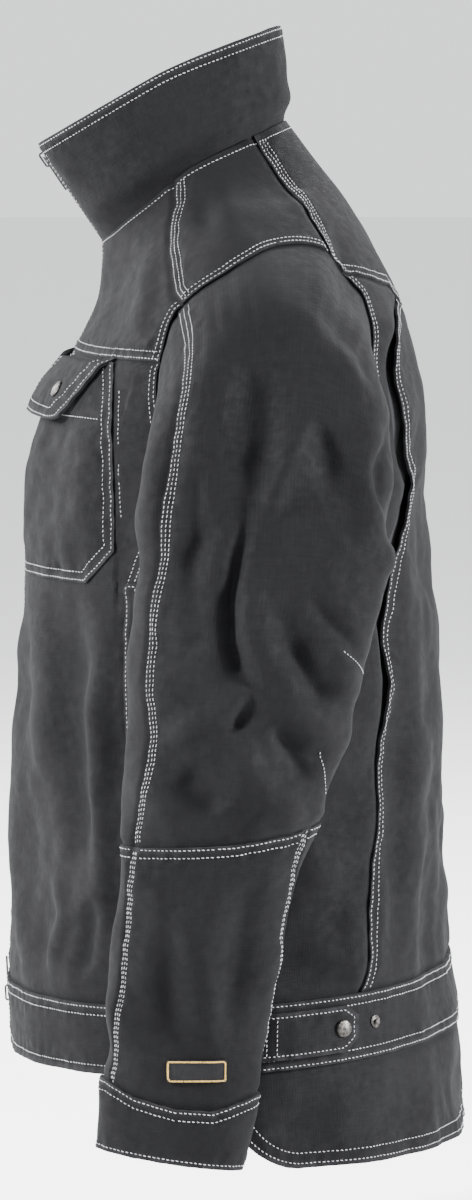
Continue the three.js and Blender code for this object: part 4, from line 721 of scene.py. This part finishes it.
for sign, tag in ((1, "left"), (-1, "right")):
    G = patch(.012, .215, 3.2, 7.6, 1.7, sign)
    x, z = np.abs(G.P[..., 0]), G.P[..., 2]; DBp = body_shape(G.P)
    y = G.P[..., 1]
    inn, outr, bot, top = x - 38, (-120.5 - y) * 1.25, z + 328, -172 - z
    cham = ((-120.5 - y) / 20.5 + bot / 24 - 1) * 16.5; cham_in = (inn + bot - 24) * .707
    edge = np.minimum(np.minimum(corner(inn, bot, 6), corner(outr, bot, 6)), np.minimum(cham, cham_in)); F = np.minimum(edge, top)
    puff = 4.6 * smooth(edge, 0, 26) * smooth(bot, 0, 50) + N_MID(G.P) * .8 * smooth(edge, 4, 26) + N_SMALL(G.P) * .3
    mask = hard_mask(G.P, 8, 30)
    D = DBp + 1.2 + .9 * smooth(edge, -.2, 1.2) + puff * (.2 + .8 * mask) * (.5 + .5 * smooth(top, 0, 60)) + rows_dip(edge, (2, 7.5), G.P)
    P, N = panel("chest_pocket_" + tag, G, D, [F], CANVAS, thick=1.7, wear=wear_of([edge]))
    for l in (2, 7.5): stitch("root_front_" + tag, P, N, False, edge, l, [top - 2])
    # the pocket's top hem row, and a single row beside the pocket
    stitch("root_front_" + tag, P, N, False, -212 - z, 0, [edge - 8.5])
    stitch("root_front_" + tag, P, N, False, outr, -4.5, [z + 286, -190 - z], lift=-1.1)
    # the flap stands off the chest towards its free edge
    drop = -168.5 - z
    e1, e2, e3 = x - 34 - .1 * drop, ((-120 - y) * 46 - (-168 - z) * 29.7) / 54.8 * 1.2, 45 + .03 * x - drop
    edge = np.minimum(corner(e1, e3, 8), corner(e2, e3, 6)); F = np.minimum(edge, drop + 2)
    off = 4.0 + 13 * np.maximum(0, drop + 6) / 52
    D = DBp * (1 - smooth(drop, 0, 12)) + np.where(drop < 8, -.6 + (off + .6) * smooth(drop, -1, 8), off) + N_MID(G.P * 1.1 + 90) * .7 * smooth(drop, 4, 30) * mask  + rows_dip(edge, (2, 7.5), G.P)
    P, N = panel("pocket_flap_" + tag, G, D, [F], CANVAS, thick=2.2, wear=wear_of([edge]), body=None)
    for l in (2, 7.5): stitch("flap_" + tag, P, N, False, edge, l, [drop - 1.5])
    # hand pocket welt
    G = patch(.10, .21, 6.6, 9.4, 1.6, sign); y, z = G.P[..., 1], G.P[..., 2]
    fsd = y - tab([[-450,-108],[-330,-108],[-290,-90],[-260,-40]], z); DBp = body_shape(G.P)
    F = np.minimum(np.minimum(4 - fsd, fsd + 6.5), np.minimum(-326 - z, z + 442))
    D = DBp + 2.2 + .6 * smooth(F, 0, 3) + rows_dip(F, (2,), G.P)
    P, N = panel("hand_pocket_welt_" + tag, G, D, [F], CANVAS, thick=2.0, wear=wear_of([F]))
    stitch("root_front_" + tag, P, N, False, F, 2)
    # waist adjuster tab
    G = patch(.20, .34, 11.85, 13.15, 1.5, sign); y = G.P[..., 1]; h = (G.v - 12.5) * 48
    e = np.minimum(np.minimum(17.5 - h, 17.5 + h), 49 - y); chm = np.minimum((49 - y + 17.5 - h) * .72 - 6, (49 - y + 17.5 + h) * .72 - 6)
    F = np.minimum(np.minimum(e, chm), y + 19); DBp = body_shape(G.P)
    D = DBp + .8 + 2 + 2.3 * np.ones_like(y) - 1.9 * (1 - smooth(y, -17, -6)) + N_SMALL(G.P) * .15 + rows_dip(np.minimum(e, chm), (3,), G.P) * .7
    P, N = panel("adjuster_tab_" + tag, G, D, [F], CANVAS, thick=2.2, wear=wear_of([F]), body=None)
    stitch("tab_" + tag, P, N, False, np.minimum(e, chm), 3, [y + 16])
    stitch("tab_" + tag, P, N, False, y + 17, 3, [14.5 - np.abs(h)]); stitch("tab_" + tag, P, N, False, y + 17, 10, [14.5 - np.abs(h)])

# label on the left forearm: blank, with a woven border
y, z = LG.P[..., 1], LG.P[..., 2]
F = np.minimum(np.minimum(y + 83, -42 - y), np.minimum(-649 - z, z + 664.5)); F = np.where(LG.P[..., 0] > 280, F, -1.0)
D = LD + 1.9
G = LG
P, N = panel("sleeve_label", G, D, [y + 83, -42 - y, -649 - z, z + 664.5, LG.P[..., 0] - 280], LABEL, thick=.9, body="sleeve_left", extra=LE)
ST_LABEL = Stitches()
for run in contour(F, .9, True):
    run = run if len(run) < 3 else np.vstack([run, run[:1]]) if np.abs(run[0] - run[-1]).max() < 3 else run
    ST_LABEL.along(sample(P, run, True), unit(sample(N, run, True)), pitch=1.0, length=1.5, width=1.5)
lab = ST_LABEL.mesh("label_border_stitching", OCHRE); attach(lab, "sleeve_left")

# ---------------------------------------------------------------- zip tapes and hanger loop, worked from their own shapes
def reworked(node, mat, cuts, amp, rib=None, name=None):
    import bmesh
    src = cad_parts[node]; bm = bmesh.new(); bm.from_mesh(src.data)
    bmesh.ops.remove_doubles(bm, verts=bm.verts, dist=1e-6)
    for _ in range(cuts):
        long = [e for e in bm.edges if e.calc_length() > .0026]
        if not long or len(bm.verts) > 22000: break
        bmesh.ops.subdivide_edges(bm, edges=long, cuts=1, use_grid_fill=True)
    bmesh.ops.triangulate(bm, faces=bm.faces); bm.normal_update()
    co = np.array([v.co[:] for v in bm.verts]) * 1000 - MOVE; no = np.array([v.normal[:] for v in bm.verts])
    d = waves(31, 14)(co) * amp
    if rib: d += rib(co)
    new = co + no * d[:, None]
    F = np.array([[v.index for v in f.verts] for f in bm.faces]); bm.free()
    uv = np.stack([new[:, 0] + new[:, 1] * .4, new[:, 2]], 1)
    o = new_mesh(name or node, new, F, mat, uv, np.zeros(len(new)), 60)
    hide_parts(node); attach(o, "root")
    x = new[F]; o["area"] = float(np.linalg.norm(np.cross(x[:, 1] - x[:, 0], x[:, 2] - x[:, 0]), axis=1).sum() / 4e6); o["held"] = "stretched"
    PIECES[node] = o
    return o
for tag in ("left", "right"):
    reworked("zip_tape_" + tag, TAPE, 6, .06, lambda p: .12 * np.sin(np.abs(p[:, 0]) * 2 * pi / 2.4))
reworked("hanger_loop", TAPE, 6, .08, lambda p: .1 * np.sin(p[:, 2] * 2 * pi / 1.6))

# ---------------------------------------------------------------- stitching as pieces, and what moves them
def blended(o):
    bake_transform(o)
for g, s in ALL_ROWS.items():
    o = s.mesh("stitching_" + g)
    if o is None: continue
    PIECES["stitching_" + g] = o; o["stitch"] = True
    if g.startswith("root"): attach(o, "root")
    elif g.startswith("sleeve"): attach(o, g)
for tag in ("left", "right"):
    for n in ("sleeve_upper_outer_", "sleeve_upper_under_", "stitching_blend_"): blended(PIECES[n + tag])
    for n in ("pocket_flap_", "stitching_flap_"):
        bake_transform(PIECES[n + tag])
    for n in ("adjuster_tab_", "stitching_tab_"):
        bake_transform(PIECES[n + tag])

# metal parts that stay as CAD
for n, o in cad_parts.items():
    if not o.hide_render:
        o.data.materials.clear(); o.data.materials.append(GUN if n.startswith("zip") else STEEL)
        o.data.polygons.foreach_set("use_smooth", np.ones(len(o.data.polygons), bool)); o.data.set_sharp_from_angle(angle=math.radians(35))

# ---------------------------------------------------------------- the cloth pieces as sheets: flat size (width, length) and flat area, in metres
FLAT = {}
for n, o in PIECES.items():
    if o.get("stitch"): continue
    a = o.get("cut_area", o["area"]); co = np.array([v.co[:] for v in o.data.vertices]); length = max(o.get("cut_length", float(np.ptp(co[:, 2]))), .011)
    if n == "hanger_loop": length, a = .011, o["area"]
    width = max(a / length * 1.08, .011); FLAT[n] = (round(width, 4), round(length, 4), a)

# ---------------------------------------------------------------- stage, light, camera
def plane(name, size, z, mat):
    bpy.ops.mesh.primitive_plane_add(size=size, location=(0, 0, z)); o = bpy.context.object; o.name = name; o.data.materials.append(mat); return o
fm = M("pale_floor"); nz = fm.node("ShaderNodeTexNoise"); nz.inputs["Scale"].default_value = 2
fm.l.new(fm.ramp(nz.outputs["Fac"], [(.3, (.84, .84, .84)), (.7, (.86, .86, .86))]), fm.b.inputs["Base Color"]); fm.b.inputs["Roughness"].default_value = .9
floor = plane("floor", 60, -.86, fm.m)
w = bpy.data.worlds.new("studio"); bpy.context.scene.world = w; w.use_nodes = True
w.node_tree.nodes["Background"].inputs["Color"].default_value = (.93, .94, .96, 1); w.node_tree.nodes["Background"].inputs["Strength"].default_value = 1.5
def area(name, loc, to, size, power):
    l = bpy.data.lights.new(name, "AREA"); l.shape = "RECTANGLE"; l.size, l.size_y = size; l.energy = power
    o = bpy.data.objects.new(name, l); bpy.context.scene.collection.objects.link(o); o.location = loc
    o.rotation_euler = (Vector(to) - Vector(loc)).to_track_quat("-Z", "Y").to_euler(); return o
area("key", (1.25, -3.1, .9), (0, 0, -.4), (.6, .9), 830)
area("fill", (1.15, 3.0, .5), (0, 0, -.4), (.6, 1.1), 720)
area("rim", (-2.6, 1.2, 1.8), (0, 0, -.3), (1.4, 1.4), 130)
area("front", (-2.0, -2.6, 1.2), (0, 0, -.35), (1.2, 1.6), 240)
cam = bpy.data.cameras.new("camera"); co = bpy.data.objects.new("camera", cam); bpy.context.scene.collection.objects.link(co)
co.location = (5.0, -.023, .070); aim = Vector((0, -.023, -.344)); co.rotation_euler = (aim - co.location).to_track_quat("-Z", "Y").to_euler()
cam.sensor_width = 36; cam.sensor_fit = "AUTO"; cam.lens = 204.8
bpy.context.scene.camera = co
